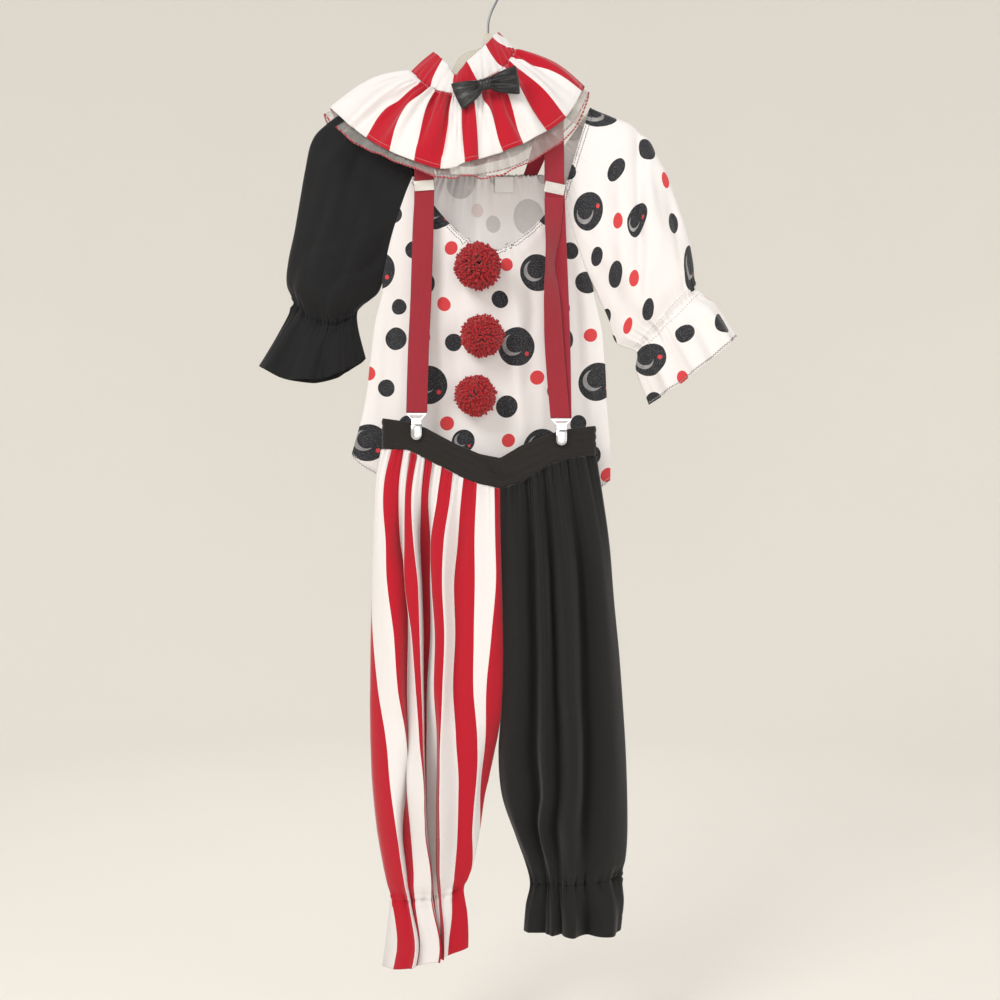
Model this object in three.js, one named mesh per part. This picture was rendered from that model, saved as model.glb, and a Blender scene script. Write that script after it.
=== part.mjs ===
// Clown costume on a clothes hanger: ruff collar with bow, blouse with pom-poms, braces and trousers.
// Units are millimetres, +Z is up, the wearer's front faces -Y. The origin is the inside top of the
// hanger's hook, where the whole costume hangs.
//
// Every cloth piece is a thin wall. It is worked out from a grid of points, pointAt(u, v), that runs
// across the piece with u and down it with v, and then gets its thickness along the grid's normals.
import * as THREE from "three";

// ---- driving dimensions ---------------------------------------------------------------------------
const CLOTH = 1.2;            // wall of knitted cloth
const FILM = 1.0;             // wall of the collar's clear underlayer
const ELASTIC = 1.8;          // wall of the braces and the waistband
const SEAM_GAP = 0.3;         // between two pieces that are sewn together
const CLOSED_GAP = 0.65;      // half the space between the two edges of a piece that closes on itself
const SIDE_GAP = 0.75;        // half the space between front and back where they meet at the side seam
const OPEN_SEAM = 2;          // a seam edge further than this from the middle faces front or back
const WIRE = 3.5;             // diameter of the hook
const HANGER_DEPTH = 6;
const STRAP_WIDTH = 29;
const NECK_DIP = 99;          // how far the front neckline hangs below its two ends
const HEM_DIP = 32;           // how far the blouse hem hangs below its corners
const SLEEVE_MIDDLE = -4;     // Y of the plane between a sleeve's front and back
const BAND_MIDDLE = -62;      // Y of the plane between the waistband's front and back
const BAND_HALF_DEPTH = 9.5;
const BAND_CLEARANCE = 1;     // from the waistband's edge to the legs, clear of its facets

// ---- tables: a row for each section, with named columns ---------------------------------------------
function table(columns, rows) {
  const names = columns.split(" ");
  return rows.map((row) => Object.fromEntries(names.map((name, i) => [name, row[i]])));
}

// Raglan and side seams of the blouse, from the neckline down. rise and in: how much higher and further
// in the back seam runs than the front one.
const BODY_COLUMNS = "leftX leftZ leftRise leftIn rightX rightZ rightRise rightIn edgeFront edgeBack front back";
const BODY = table(BODY_COLUMNS, [
  [-111, -310, 12, 16, 111, -337, 38, 26, 22, 24, -31, 24],
  [-121, -334, 11, 14, 118, -361, 33, 22, 22, 24, -32, 24],
  [-132, -364, 9, 11, 128, -396, 24, 16, 19, 20, -33, 25],
  [-142, -394, 7, 8, 137, -422, 16, 10, 15, 15, -34, 26],
  [-150, -424, 4, 4, 146, -446, 9, 5, 10, 10, -35, 27],
  [-157, -456, 1, 1, 154, -463, 3, 2, 5, 5, -36, 28],
  [-159, -482, 0, 0, 161, -491, 0, 0, SIDE_GAP, SIDE_GAP, -36, 28],
  [-169, -521, 0, 0, 171, -536, 0, 0, SIDE_GAP, SIDE_GAP, -35, 27],
  [-175, -566, 0, 0, 175, -581, 0, 0, SIDE_GAP, SIDE_GAP, -34, 26],
  [-180, -618, 0, 0, 178, -641, 0, 0, SIDE_GAP, SIDE_GAP, -33, 25],
  [-190, -671, 0, 0, 183, -702, 0, 0, SIDE_GAP, SIDE_GAP, -33, 24],
  [-205, -726, 0, 0, 183, -762, 0, 0, SIDE_GAP, SIDE_GAP, -34, 22],
]);
const RAGLAN_ROWS = 6;        // rows of BODY that are sewn to a sleeve

// Sleeves, from the neckline to the flounce hem. Each section runs from an inner point, at the raglan or
// underarm seam, to an outer point at the fold. sag: how far its middle hangs below that line.
const SLEEVE_COLUMNS = "inX inZ outX outZ front back sag";
const BLACK_SLEEVE = table(SLEEVE_COLUMNS, [
  [-111, -310, -152, -199, 13, 13, 0],
  [-121, -334, -207, -207, 13, 14, 0],
  [-132, -364, -245, -232, 16, 18, 0],
  [-142, -394, -263, -256, 26, 22, 0],
  [-150, -424, -272, -299, 30, 26, 0],
  [-157, -456, -280, -349, 34, 30, 0],
  [-164, -479, -287, -392, 36, 32, 2],
  [-177, -491, -296, -434, 36, 32, 8],
  [-189, -500, -299, -467, 30, 26, 18],
  [-196, -511, -290, -496, 17, 15, 26],
  [-194, -536, -311, -536, 26, 24, 27],
  [-183, -579, -343, -590, 34, 32, 28],
]);
const DOTTED_SLEEVE = table(SLEEVE_COLUMNS, [
  [111, -337, 152, -205, 13, 13, 0],
  [118, -361, 186, -218, 14, 14, 0],
  [128, -396, 222, -236, 20, 18, 0],
  [137, -422, 242, -258, 26, 22, 0],
  [146, -446, 255, -282, 30, 26, 0],
  [154, -463, 267, -307, 33, 29, 0],
  [167, -490, 281, -347, 34, 30, 0],
  [181, -521, 295, -388, 34, 30, 0],
  [192, -555, 305, -434, 30, 26, 2],
  [222, -569, 311, -475, 17, 15, 0],
  [222, -597, 341, -500, 26, 24, 0],
  [241, -648, 371, -548, 34, 32, 4],
]);

// Legs, from the waistband to the flounce hem. frontGap and backGap: where the inner edges lie before and
// behind the middle plane, so the first rows are open towards the other leg and the rest are closed tubes.
const LEG_COLUMNS = "inX inZ outX outZ middle front back frontGap backGap sag";
const STRIPED_LEG = table(LEG_COLUMNS, [
  [18, -774, -151, -716, -62, 9.5, 9.5, 9.5, 9.5, 0],
  [18.5, -823, -161, -764, -62, 20, 14, 16, 10, 0],
  [20, -885, -164, -849, -59, 28, 24, 24, 20, 0],
  [21.5, -951, -167, -937, -56, 32, 30, 28, 26, 0],
  [22.5, -1025, -170, -1017, -53, 34, 32, 28, 26, 0],
  [20, -1098, -171, -1098, -51, 34, 32, 20, 18, 0],
  [10, -1159, -169, -1164, -50, 34, 32, CLOSED_GAP, CLOSED_GAP, 0],
  [-4, -1222, -164, -1230, -50, 32, 30, CLOSED_GAP, CLOSED_GAP, 0],
  [-17, -1288, -156, -1296, -50, 29, 26, CLOSED_GAP, CLOSED_GAP, 0],
  [-29, -1337, -147, -1347, -50, 23, 21, CLOSED_GAP, CLOSED_GAP, 3],
  [-36, -1357, -142, -1373, -50, 16, 15, CLOSED_GAP, CLOSED_GAP, 6],
  [-32, -1394, -149, -1420, -50, 24, 22, CLOSED_GAP, CLOSED_GAP, 6],
  [-32, -1443, -159, -1473, -50, 30, 28, CLOSED_GAP, CLOSED_GAP, 4],
]);
const BLACK_LEG = table(LEG_COLUMNS, [
  [18, -774, 155, -724, -62, 9.5, 9.5, 9.5, 9.5, 0],
  [18.5, -823, 166, -783, -62, 20, 14, 16, 10, 0],
  [20, -885, 177, -856, -59, 28, 24, 24, 20, 0],
  [21.5, -951, 184, -937, -56, 32, 30, 28, 26, 0],
  [22.5, -1025, 192, -1017, -53, 34, 32, 28, 26, 0],
  [20, -1098, 198, -1098, -51, 34, 32, 20, 18, 0],
  [16, -1159, 202, -1164, -50, 34, 32, CLOSED_GAP, CLOSED_GAP, 0],
  [21, -1222, 204, -1230, -50, 33, 30, CLOSED_GAP, CLOSED_GAP, 0],
  [41, -1281, 204, -1281, -50, 31, 28, CLOSED_GAP, CLOSED_GAP, 0],
  [55, -1320, 201, -1315, -50, 25, 23, CLOSED_GAP, CLOSED_GAP, 2],
  [62, -1351, 194, -1341, -50, 17, 16, CLOSED_GAP, CLOSED_GAP, 3],
  [56, -1383, 200, -1379, -50, 24, 22, CLOSED_GAP, CLOSED_GAP, 2],
  [53, -1420, 197, -1420, -50, 28, 26, CLOSED_GAP, CLOSED_GAP, 1],
]);

// Waistband edges from one end to the other: it droops between the two front clips.
const BAND = table("x top bottom", [
  [-152, -672, -715],
  [-118, -677, -716],
  [-90, -686, -729],
  [-47, -709, -752],
  [-11, -724, -767],
  [18, -730, -773],
  [48, -712, -764],
  [89, -695, -738],
  [121, -687, -728],
  [156, -683, -724],
]);

// Collar: rays round the ring, from the left end across the front to the right end and back behind.
// top and seam bound the stand, hem ends the ruffle, extra is how far the clear underlayer goes past it.
const COLLAR = table("topX topY topZ seamX seamY seamZ hemX hemY hemZ extra", [
  [-81, -4, -120, -114, -5, -150, -233, 2, -208, 14],
  [-71, -18, -132, -100, -30, -170, -191, -38, -247, 16],
  [-60, -28, -145, -80, -42, -185, -142, -60, -284, 10],
  [-48, -34, -163, -54, -48, -194, -69, -73, -309, 12],
  [-31, -38, -145, -32, -50, -183, -30, -74, -303, 20],
  [-12, -34, -127, -8, -46, -174, 0, -69, -291, 31],
  [2, -24, -110, 18, -34, -156, 51, -64, -274, 30],
  [11, -8, -94, 33, -18, -133, 114, -36, -226, 22],
  [16, 6, -89, 39, 2, -115, 143, 6, -171, 12],
  [13, 24, -99, 30, 30, -124, 118, 38, -208, 14],
  [-13, 36, -131, 0, 44, -166, 45, 55, -258, 16],
  [-40, 38, -143, -43, 46, -186, -44, 58, -276, 16],
  [-64, 30, -133, -86, 38, -170, -140, 50, -264, 16],
  [-77, 12, -121, -111, 18, -152, -217, 26, -229, 14],
]);

// Braces: the middle line of each length. turn: degrees that its width is turned from X towards Y.
// lean: degrees that its width is turned from X towards Z.
const STRAP_COLUMNS = "x y z turn lean";
const STRAP_LEFT = table(STRAP_COLUMNS, [
  [-102, -72, -664, 0, 0],
  [-100, -62, -572, 0, 0],
  [-97, -54, -498, 0, 0],
  [-94, -49, -394, 0, 0],
  [-93, -46, -328, 0, 0],
  [-94, -34, -274, 0, 0],
  [-95, -14, -212, 0, 12],
  [-95, -7, -179, 0, 33],
  [-95, 7, -179, 0, 33],
  [-92, 14, -206, 0, 10],
  [-72, 36, -282, 0, -22],
  [-26, 38, -376, 0, -30],
]);
const STRAP_RIGHT = table(STRAP_COLUMNS, [
  [107, -72, -672, 0, 0],
  [106, -60, -573, 0, 0],
  [104, -53, -498, 0, 0],
  [100, -49, -394, 0, 0],
  [98, -46, -328, 0, 0],
  [98, -34, -274, 0, 0],
  [98, -14, -214, 0, -12],
  [98, -7, -181, 0, -33],
  [98, 7, -181, 0, -33],
  [93, 14, -208, 0, -10],
  [70, 36, -282, 0, 22],
  [24, 38, -376, 0, 30],
]);
const STRAP_LEFT_RETURN = table(STRAP_COLUMNS, [
  [-93, -43, -342, 0, 0],
  [-96, -46, -394, 2, 0],
  [-99, -51, -498, 3, 0],
  [-102, -59, -572, 3, 0],
  [-104, -69, -664, 2, 0],
]);
const STRAP_RIGHT_RETURN = table(STRAP_COLUMNS, [
  [97, -52, -349, 6, 0],
  [95, -61, -400, 40, 0],
  [91, -67, -450, 62, 0],
  [93, -67, -484, 40, 0],
  [97, -67, -572, 10, 0],
  [105, -76, -672, 0, 0],
]);
const STRAP_TAIL = table(STRAP_COLUMNS, [
  [-1, 38, -424, 0, 0],
  [1, 39, -520, 0, 0],
  [2, 39, -640, 0, 0],
]);

const POMPOMS = table("x z radius", [
  [-14, -451, 33],
  [-8, -552, 30],
  [-18, -639, 29],
]);

// Clips: x, the top of the ring, and the Y of the strap that it hangs from. grip: Y of the cloth held.
const CLIPS = table("side x top y", [
  ["left", -103, -665, -72],
  ["right", 107, -673, -72],
  ["rear", 2, -641, 39],
]);

// ---- colours -----------------------------------------------------------------------------------------
function finish(color, roughness, metalness = 0) {
  return new THREE.MeshStandardMaterial({ color, roughness, metalness });
}
const FINISHES = {
  white: finish(0xefe8e4, 0.85),
  black: finish(0x1c1c1e, 0.88),
  stripe: finish(0xc4162e, 0.85),
  film: finish(0xd8d2cd, 0.3),
  satin: finish(0x08080a, 0.25),
  yarn: finish(0xb0101a, 0.95),
  elastic: finish(0x8f2530, 0.8),
  band: finish(0x2e2b2a, 0.8),
  plastic: finish(0xe6e4dd, 0.15),
  steel: finish(0xb9bcc0, 0.3, 1),
  label: finish(0xf6f4f2, 0.7),
};

const costume = new THREE.Group();
costume.name = "clown_costume";

function add(name, geometry, material) {
  const mesh = new THREE.Mesh(geometry, material);
  mesh.name = name;
  costume.add(mesh);
  return mesh;
}

// ---- reading tables ------------------------------------------------------------------------------------
function catmull(p0, p1, p2, p3, t) {
  const a = 2 * p1;
  const b = p2 - p0;
  const c = 2 * p0 - 5 * p1 + 4 * p2 - p3;
  const d = 3 * p1 - p0 - 3 * p2 + p3;
  return 0.5 * (a + b * t + c * t * t + d * t * t * t);
}

// The row at any place t, counted in rows, on a smooth curve through the table's rows.
function rowAt(rows, t, closed = false) {
  const count = rows.length;
  const wrap = (i) => (closed ? (i + count) % count : Math.min(Math.max(i, 0), count - 1));
  const base = closed ? Math.floor(t) : Math.min(Math.floor(t), count - 2);
  const [p0, p1, p2, p3] = [-1, 0, 1, 2].map((k) => rows[wrap(base + k)]);
  const part = t - base;
  return Object.fromEntries(Object.keys(p1).map((key) => [key, catmull(p0[key], p1[key], p2[key], p3[key], part)]));
}

// Straight reading of a table against its x column.
function readX(rows, x, key) {
  let i = 0;
  while (i < rows.length - 2 && rows[i + 1].x < x) {
    i += 1;
  }
  const part = THREE.MathUtils.clamp((x - rows[i].x) / (rows[i + 1].x - rows[i].x), 0, 1);
  return THREE.MathUtils.lerp(rows[i][key], rows[i + 1][key], part);
}

// ---- the cloth wall ------------------------------------------------------------------------------------
function gridNormals(grid, closed) {
  const columns = grid.length - (closed ? 0 : 1);
  const rows = grid[0].length - 1;
  return grid.map((line, i) => line.map((_, j) => {
    const before = closed ? grid[(i + columns - 1) % columns] : grid[Math.max(i - 1, 0)];
    const after = closed ? grid[(i + 1) % columns] : grid[Math.min(i + 1, columns)];
    const across = new THREE.Vector3().subVectors(after[j], before[j]);
    const down = new THREE.Vector3().subVectors(line[Math.min(j + 1, rows)], line[Math.max(j - 1, 0)]);
    return across.cross(down).normalize();
  }));
}

// options: columns, rows, pointAt(u, v), thickness, closed (the piece is a ring in u), relief(u, v) lifts
// the surface along its normal, edgeNormal(v, side) may set the normal of the u = 0 and u = 1 edges.
function clothWall(options) {
  const { columns, rows, pointAt, thickness, closed = false, relief, edgeNormal, lift = 0 } = options;
  const lines = closed ? columns : columns + 1;
  const us = Array.from({ length: lines }, (_, i) => i / columns);
  const vs = Array.from({ length: rows + 1 }, (_, j) => j / rows);
  let grid = us.map((u) => vs.map((v) => pointAt(u, v)));
  let normals = gridNormals(grid, closed);
  if (relief) {
    grid = grid.map((line, i) => line.map((point, j) => point.clone().addScaledVector(normals[i][j], relief(us[i], vs[j]))));
    normals = gridNormals(grid, closed);
  }
  if (edgeNormal) {
    vs.forEach((v, j) => {
      normals[0][j] = edgeNormal(v, 0) ?? normals[0][j];
      normals[columns][j] = edgeNormal(v, 1) ?? normals[columns][j];
    });
  }
  const positions = [];
  const index = (i, j, side) => ((i % lines) * (rows + 1) + j) * 2 + side;
  grid.forEach((line, i) => line.forEach((point, j) => {
    for (const side of [lift + thickness / 2, lift - thickness / 2]) {
      positions.push(...point.clone().addScaledVector(normals[i][j], side).toArray());
    }
  }));
  const faces = [];
  const quad = (a, b, c, d) => faces.push(a, b, c, a, c, d);
  for (let i = 0; i < columns; i += 1) {
    for (let j = 0; j < rows; j += 1) {
      quad(index(i, j, 0), index(i + 1, j, 0), index(i + 1, j + 1, 0), index(i, j + 1, 0));
      quad(index(i, j, 1), index(i, j + 1, 1), index(i + 1, j + 1, 1), index(i + 1, j, 1));
    }
    quad(index(i, 0, 0), index(i, 0, 1), index(i + 1, 0, 1), index(i + 1, 0, 0));
    quad(index(i, rows, 0), index(i + 1, rows, 0), index(i + 1, rows, 1), index(i, rows, 1));
  }
  if (!closed) {
    for (let j = 0; j < rows; j += 1) {
      quad(index(0, j, 0), index(0, j + 1, 0), index(0, j + 1, 1), index(0, j, 1));
      quad(index(columns, j, 0), index(columns, j, 1), index(columns, j + 1, 1), index(columns, j + 1, 0));
    }
  }
  const geometry = new THREE.BufferGeometry();
  geometry.setAttribute("position", new THREE.Float32BufferAttribute(positions, 3));
  geometry.setIndex(faces);
  return facingOut(geometry);
}

// Turns a closed shape right side out: its volume is positive when its faces point outwards.
function facingOut(geometry) {
  const place = geometry.attributes.position;
  const index = geometry.index.array;
  const [a, b, c] = [new THREE.Vector3(), new THREE.Vector3(), new THREE.Vector3()];
  let volume = 0;
  for (let i = 0; i < index.length; i += 3) {
    a.fromBufferAttribute(place, index[i]);
    b.fromBufferAttribute(place, index[i + 1]);
    c.fromBufferAttribute(place, index[i + 2]);
    volume += a.dot(b.cross(c));
  }
  if (volume < 0) {
    for (let i = 0; i < index.length; i += 3) {
      [index[i + 1], index[i + 2]] = [index[i + 2], index[i + 1]];
    }
  }
  return geometry;
}

// ---- wrapped pieces: sleeves and legs --------------------------------------------------------------------
// u runs from the front inner edge round the outer fold to the back inner edge.
function wrappedPoint(row, u) {
  const front = u <= 0.5;
  const along = front ? u * 2 : (1 - u) * 2;
  const depth = front ? row.front : row.back;
  const gap = front ? row.frontGap : row.backGap;
  const inner = along < 0.5;
  const turn = (inner ? along : along - 0.5) * Math.PI;
  const part = inner ? along : 0.5 + 0.5 * Math.sin(turn);
  const reach = inner ? gap + (depth - gap) * Math.sin(turn) : depth * Math.cos(turn);
  const rise = front ? 0 : row.rise * (1 - part);
  const shift = front ? 0 : row.shift * (1 - part);
  return new THREE.Vector3(
    THREE.MathUtils.lerp(row.inX, row.outX, part) + shift,
    row.middle + (front ? -reach : reach),
    THREE.MathUtils.lerp(row.inZ, row.outZ, part) - row.sag * 4 * part * (1 - part) + rise,
  );
}

// Soft gathers: rounded waves whose height fades between the rows given in the list.
function gathers(waves, height, bounds) {
  const [start, full, end, out] = bounds;
  return (u, v) => {
    const rising = THREE.MathUtils.smoothstep(v, start, full);
    const falling = 1 - THREE.MathUtils.smoothstep(v, end, out);
    const edge = THREE.MathUtils.smoothstep(u, 0, 0.05) * (1 - THREE.MathUtils.smoothstep(u, 0.95, 1));
    return height * rising * falling * edge * Math.cos(u * waves * 2 * Math.PI);
  };
}

function seamedEdge(rowFor, side) {
  return (v, end) => {
    const row = rowFor(v);
    const gap = end === 0 ? row.frontGap : row.backGap;
    return gap > OPEN_SEAM ? new THREE.Vector3(0, (end === 0 ? -1 : 1) * side, 0) : null;
  };
}

function sleeve(rows, side) {
  const name = side < 0 ? "left" : "right";
  const last = rows.length - 1;
  const rowFor = (v) => {
    const index = Math.round(v * last);
    const sewn = index < RAGLAN_ROWS;
    const body = BODY[Math.min(index, RAGLAN_ROWS)];
    return {
      ...rows[index],
      inX: rows[index].inX + (sewn ? side * SEAM_GAP / 2 : 0),
      middle: SLEEVE_MIDDLE,
      frontGap: sewn ? body.edgeFront : CLOSED_GAP,
      backGap: sewn ? body.edgeBack : CLOSED_GAP,
      rise: sewn ? body[name + "Rise"] : 0,
      shift: sewn ? -side * body[name + "In"] : 0,
    };
  };
  return clothWall({
    columns: 28,
    rows: last,
    thickness: CLOTH,
    pointAt: (u, v) => wrappedPoint(rowFor(v), u),
    relief: gathers(7, 3, [0.62, 0.82, 1.2, 1.4]),
    edgeNormal: seamedEdge(rowFor, side < 0 ? 1 : -1),
  });
}

function leg(rows, side) {
  const last = rows.length - 1;
  const rowFor = (v) => {
    const row = rowAt(rows, v * last);
    const sewn = row.frontGap > OPEN_SEAM;
    return { ...row, inX: row.inX + (sewn ? side * SEAM_GAP / 2 : 0), rise: 0, shift: 0 };
  };
  const top = gathers(8, 2.5, [-1, -0.5, 0.2, 0.75]);
  const ankle = gathers(8, 3, [0.7, 0.84, 1.2, 1.4]);
  return clothWall({
    columns: 32,
    rows: last,
    thickness: CLOTH,
    pointAt: (u, v) => {
      const point = wrappedPoint(rowFor(v), u);
      const line = wrappedPoint(rowFor(0), u);
      const under = readX(BAND, line.x, "bottom") - BAND_CLEARANCE - line.z;
      point.z += under * Math.max(0, 1 - v * last / 1.6) ** 2;
      return point;
    },
    relief: (u, v) => top(u, v) * THREE.MathUtils.smoothstep(v, 0, 0.04) + ankle(u, v),
    edgeNormal: seamedEdge(rowFor, side < 0 ? 1 : -1),
  });
}

// ---- blouse ----------------------------------------------------------------------------------------------
// face is -1 for the front and 1 for the back; u runs from the left edge to the right one.
function panelPoint(face, u, v) {
  const last = BODY.length - 1;
  const row = BODY[Math.min(Math.round(v * last), last)];
  const sewn = Math.round(v * last) < RAGLAN_ROWS ? SEAM_GAP / 2 : 0;
  const behind = face > 0 ? 1 : 0;
  const edge = SLEEVE_MIDDLE + (face < 0 ? -row.edgeFront : row.edgeBack);
  const middle = face < 0 ? row.front : row.back;
  const bow = Math.sin(Math.PI * u);
  const neck = face < 0 ? NECK_DIP * (1 - Math.abs(2 * u - 1) ** 1.6) * (1 - v) ** 2 : 0;
  const hem = HEM_DIP * (1 - (2 * u - 1) ** 6) * v ** 3;
  return new THREE.Vector3(
    THREE.MathUtils.lerp(row.leftX + sewn + behind * row.leftIn, row.rightX - sewn - behind * row.rightIn, u),
    edge + (middle - edge) * bow,
    THREE.MathUtils.lerp(row.leftZ + behind * row.leftRise, row.rightZ + behind * row.rightRise, u) - neck - hem,
  );
}

function panel(face) {
  const last = BODY.length - 1;
  const shirring = gathers(5, 1.6, [-1, -0.5, 0.05, 0.4]);
  return clothWall({
    columns: 16,
    rows: last,
    thickness: CLOTH,
    pointAt: (u, v) => panelPoint(face, u, v),
    relief: shirring,
    edgeNormal: (v) => (Math.round(v * last) < RAGLAN_ROWS ? new THREE.Vector3(0, 1, 0) : null),
  });
}

function neckLabel() {
  const width = 28;
  const drop = 24;
  const left = 10;
  return clothWall({
    columns: 2,
    rows: 2,
    thickness: 1,
    pointAt: (u, v) => {
      const across = (left + u * width - BODY[0].leftX) / (BODY[0].rightX - BODY[0].leftX);
      const point = panelPoint(1, across, 0);
      return new THREE.Vector3(left + u * width, point.y - 4.2 - v, point.z - 3 - v * drop);
    },
  });
}

// ---- collar ------------------------------------------------------------------------------------------------
function collarRay(u) {
  const row = rowAt(COLLAR, u * COLLAR.length, true);
  return {
    top: new THREE.Vector3(row.topX, row.topY, row.topZ),
    seam: new THREE.Vector3(row.seamX, row.seamY, row.seamZ),
    hem: new THREE.Vector3(row.hemX, row.hemY, row.hemZ),
    extra: row.extra,
  };
}

function collarStand() {
  return clothWall({
    columns: 42,
    rows: 2,
    closed: true,
    thickness: CLOTH,
    pointAt: (u, v) => {
      const ray = collarRay(u);
      const length = ray.top.distanceTo(ray.seam);
      return ray.top.clone().lerp(ray.seam, v * (1 - SEAM_GAP / length));
    },
  });
}

const RUFFLE_BULGE = 12;
const RUFFLE_WAVES = 7;
function ruffleRelief(u, s) {
  const swell = RUFFLE_BULGE * Math.sin(Math.PI * Math.min(s, 1));
  return -(swell + 4 * s * Math.cos(u * RUFFLE_WAVES * 2 * Math.PI));
}

function collarFlare(start, extend, thickness, lift) {
  const place = (u, v) => {
    const ray = collarRay(u);
    const length = ray.seam.distanceTo(ray.hem);
    const from = (start + SEAM_GAP) / length;
    const to = 1 + (extend ? ray.extra / length : 0);
    return { ray, s: THREE.MathUtils.lerp(from, to, v) };
  };
  return clothWall({
    columns: 42,
    rows: 4,
    closed: true,
    thickness,
    lift,
    pointAt: (u, v) => {
      const { ray, s } = place(u, v);
      return ray.seam.clone().lerp(ray.hem, s);
    },
    relief: (u, v) => ruffleRelief(u, place(u, v).s),
  });
}

// ---- bow -----------------------------------------------------------------------------------------------------
const BOW = { x: -4, y: -76, z: -190, tilt: 16, knotWidth: 20, knotHeight: 18, knotDepth: 12 };
function bowPoint(along, up, y, tilt) {
  const turn = THREE.MathUtils.degToRad(tilt);
  return new THREE.Vector3(
    BOW.x + along * Math.cos(turn) - up * Math.sin(turn),
    BOW.y + y,
    BOW.z + along * Math.sin(turn) + up * Math.cos(turn),
  );
}

function bowLoop(side, length, endHeight, tilt) {
  const start = BOW.knotWidth / 2 + SEAM_GAP + 1.4;
  return clothWall({
    columns: 12,
    rows: 2,
    thickness: 1,
    pointAt: (u, v) => {
      const out = Math.sin(Math.PI * u);
      const height = THREE.MathUtils.lerp(7, endHeight, out ** 0.7);
      const depth = -4.5 * Math.cos(Math.PI * u) * (1 + out);
      return bowPoint(side * (start + length * out), height * (2 * v - 1), depth, tilt);
    },
  });
}

function bowKnot() {
  const shape = new THREE.Shape();
  shape.absellipse(0, 0, BOW.knotHeight / 2, BOW.knotDepth / 2, 0, Math.PI * 2);
  const geometry = new THREE.ExtrudeGeometry(shape, { depth: BOW.knotWidth, bevelEnabled: false, curveSegments: 10 });
  geometry.translate(0, 0, -BOW.knotWidth / 2);
  const turn = THREE.MathUtils.degToRad(BOW.tilt);
  const along = new THREE.Vector3(Math.cos(turn), 0, Math.sin(turn));
  const up = new THREE.Vector3(-Math.sin(turn), 0, Math.cos(turn));
  const depth = new THREE.Vector3().crossVectors(along, up);
  geometry.applyMatrix4(new THREE.Matrix4().makeBasis(up, depth, along));
  geometry.translate(BOW.x, BOW.y, BOW.z);
  return geometry;
}

// ---- braces ----------------------------------------------------------------------------------------------------
function ribbon(rows, width = STRAP_WIDTH, steps = 2) {
  return clothWall({
    columns: 1,
    rows: (rows.length - 1) * steps,
    thickness: ELASTIC,
    pointAt: (u, v) => {
      const row = rowAt(rows, v * (rows.length - 1));
      const turn = THREE.MathUtils.degToRad(row.turn);
      const lean = THREE.MathUtils.degToRad(row.lean);
      const half = width * (u - 0.5);
      return new THREE.Vector3(
        row.x + half * Math.cos(turn) * Math.cos(lean),
        row.y + half * Math.sin(turn),
        row.z + half * Math.sin(lean),
      );
    },
  });
}

// A flat plate that faces the front, plain or with one window.
function framePlate(outline, window, depth) {
  const shape = new THREE.Shape(outline.map(([x, z]) => new THREE.Vector2(x, z)));
  if (window) {
    shape.holes.push(new THREE.Path(window.map(([x, z]) => new THREE.Vector2(x, z))));
  }
  const geometry = new THREE.ExtrudeGeometry(shape, { depth, bevelEnabled: false });
  geometry.rotateX(Math.PI / 2);
  return geometry;
}

function rectangle(halfWidth, halfHeight) {
  return [[-halfWidth, -halfHeight], [halfWidth, -halfHeight], [halfWidth, halfHeight], [-halfWidth, halfHeight]];
}

function slider(name, x, y, z, tilt) {
  const plate = framePlate(rectangle(15, 8), null, 2.5);
  const mesh = add(name, plate, FINISHES.plastic);
  mesh.position.set(x, y, z);
  mesh.rotation.y = THREE.MathUtils.degToRad(tilt);
}

function clip({ side, x, top, y }) {
  const ring = framePlate(
    [[-15, -0.4], [-7, -9], [7, -9], [15, -0.4]],
    [[-12, -2.6], [-5.6, -7], [5.6, -7], [12, -2.6]],
    2,
  );
  add(`clip_${side}_ring`, ring, FINISHES.steel).position.set(x, y + 1, top);
  const jawHalf = 7;
  const profile = [[4.8, -9.4], [-4.6, -9.4], [-4.6, -16], [-3.4, -16], [-3.4, -11], [3.6, -11], [3.6, -26], [4.8, -26]];
  const shape = new THREE.Shape(profile.map(([depth, z]) => new THREE.Vector2(depth, z)));
  const jaw = new THREE.ExtrudeGeometry(shape, { depth: jawHalf * 2, bevelEnabled: false });
  jaw.applyMatrix4(new THREE.Matrix4().makeBasis(
    new THREE.Vector3(0, 1, 0),
    new THREE.Vector3(0, 0, 1),
    new THREE.Vector3(1, 0, 0),
  ));
  add(`clip_${side}_jaw`, jaw, FINISHES.steel).position.set(x - jawHalf, y, top);
  const lever = framePlate([[-7.5, -16.4], [7.5, -16.4], [8, -26], [4, -36], [0, -39], [-4, -36], [-8, -26]], null, 1.4);
  add(`clip_${side}_lever`, lever, FINISHES.steel).position.set(x, y - 3.3, top);
}

// ---- hanger ------------------------------------------------------------------------------------------------------
function hangerBody() {
  const half = [[5, -91], [9, -113], [30, -119], [44, -128], [60, -158], [150, -219], [206, -256]];
  const under = [[206, -270], [150, -238], [60, -180], [30, -160]];
  const outline = [...half, ...under].map(([x, z]) => new THREE.Vector2(x, z));
  const mirrored = [...half, ...under].reverse().map(([x, z]) => new THREE.Vector2(-x, z));
  const shape = new THREE.Shape([...outline, ...mirrored]);
  const geometry = new THREE.ExtrudeGeometry(shape, { depth: HANGER_DEPTH, bevelEnabled: false });
  geometry.rotateX(Math.PI / 2);
  geometry.translate(0, HANGER_DEPTH / 2, 0);
  return geometry;
}

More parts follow.
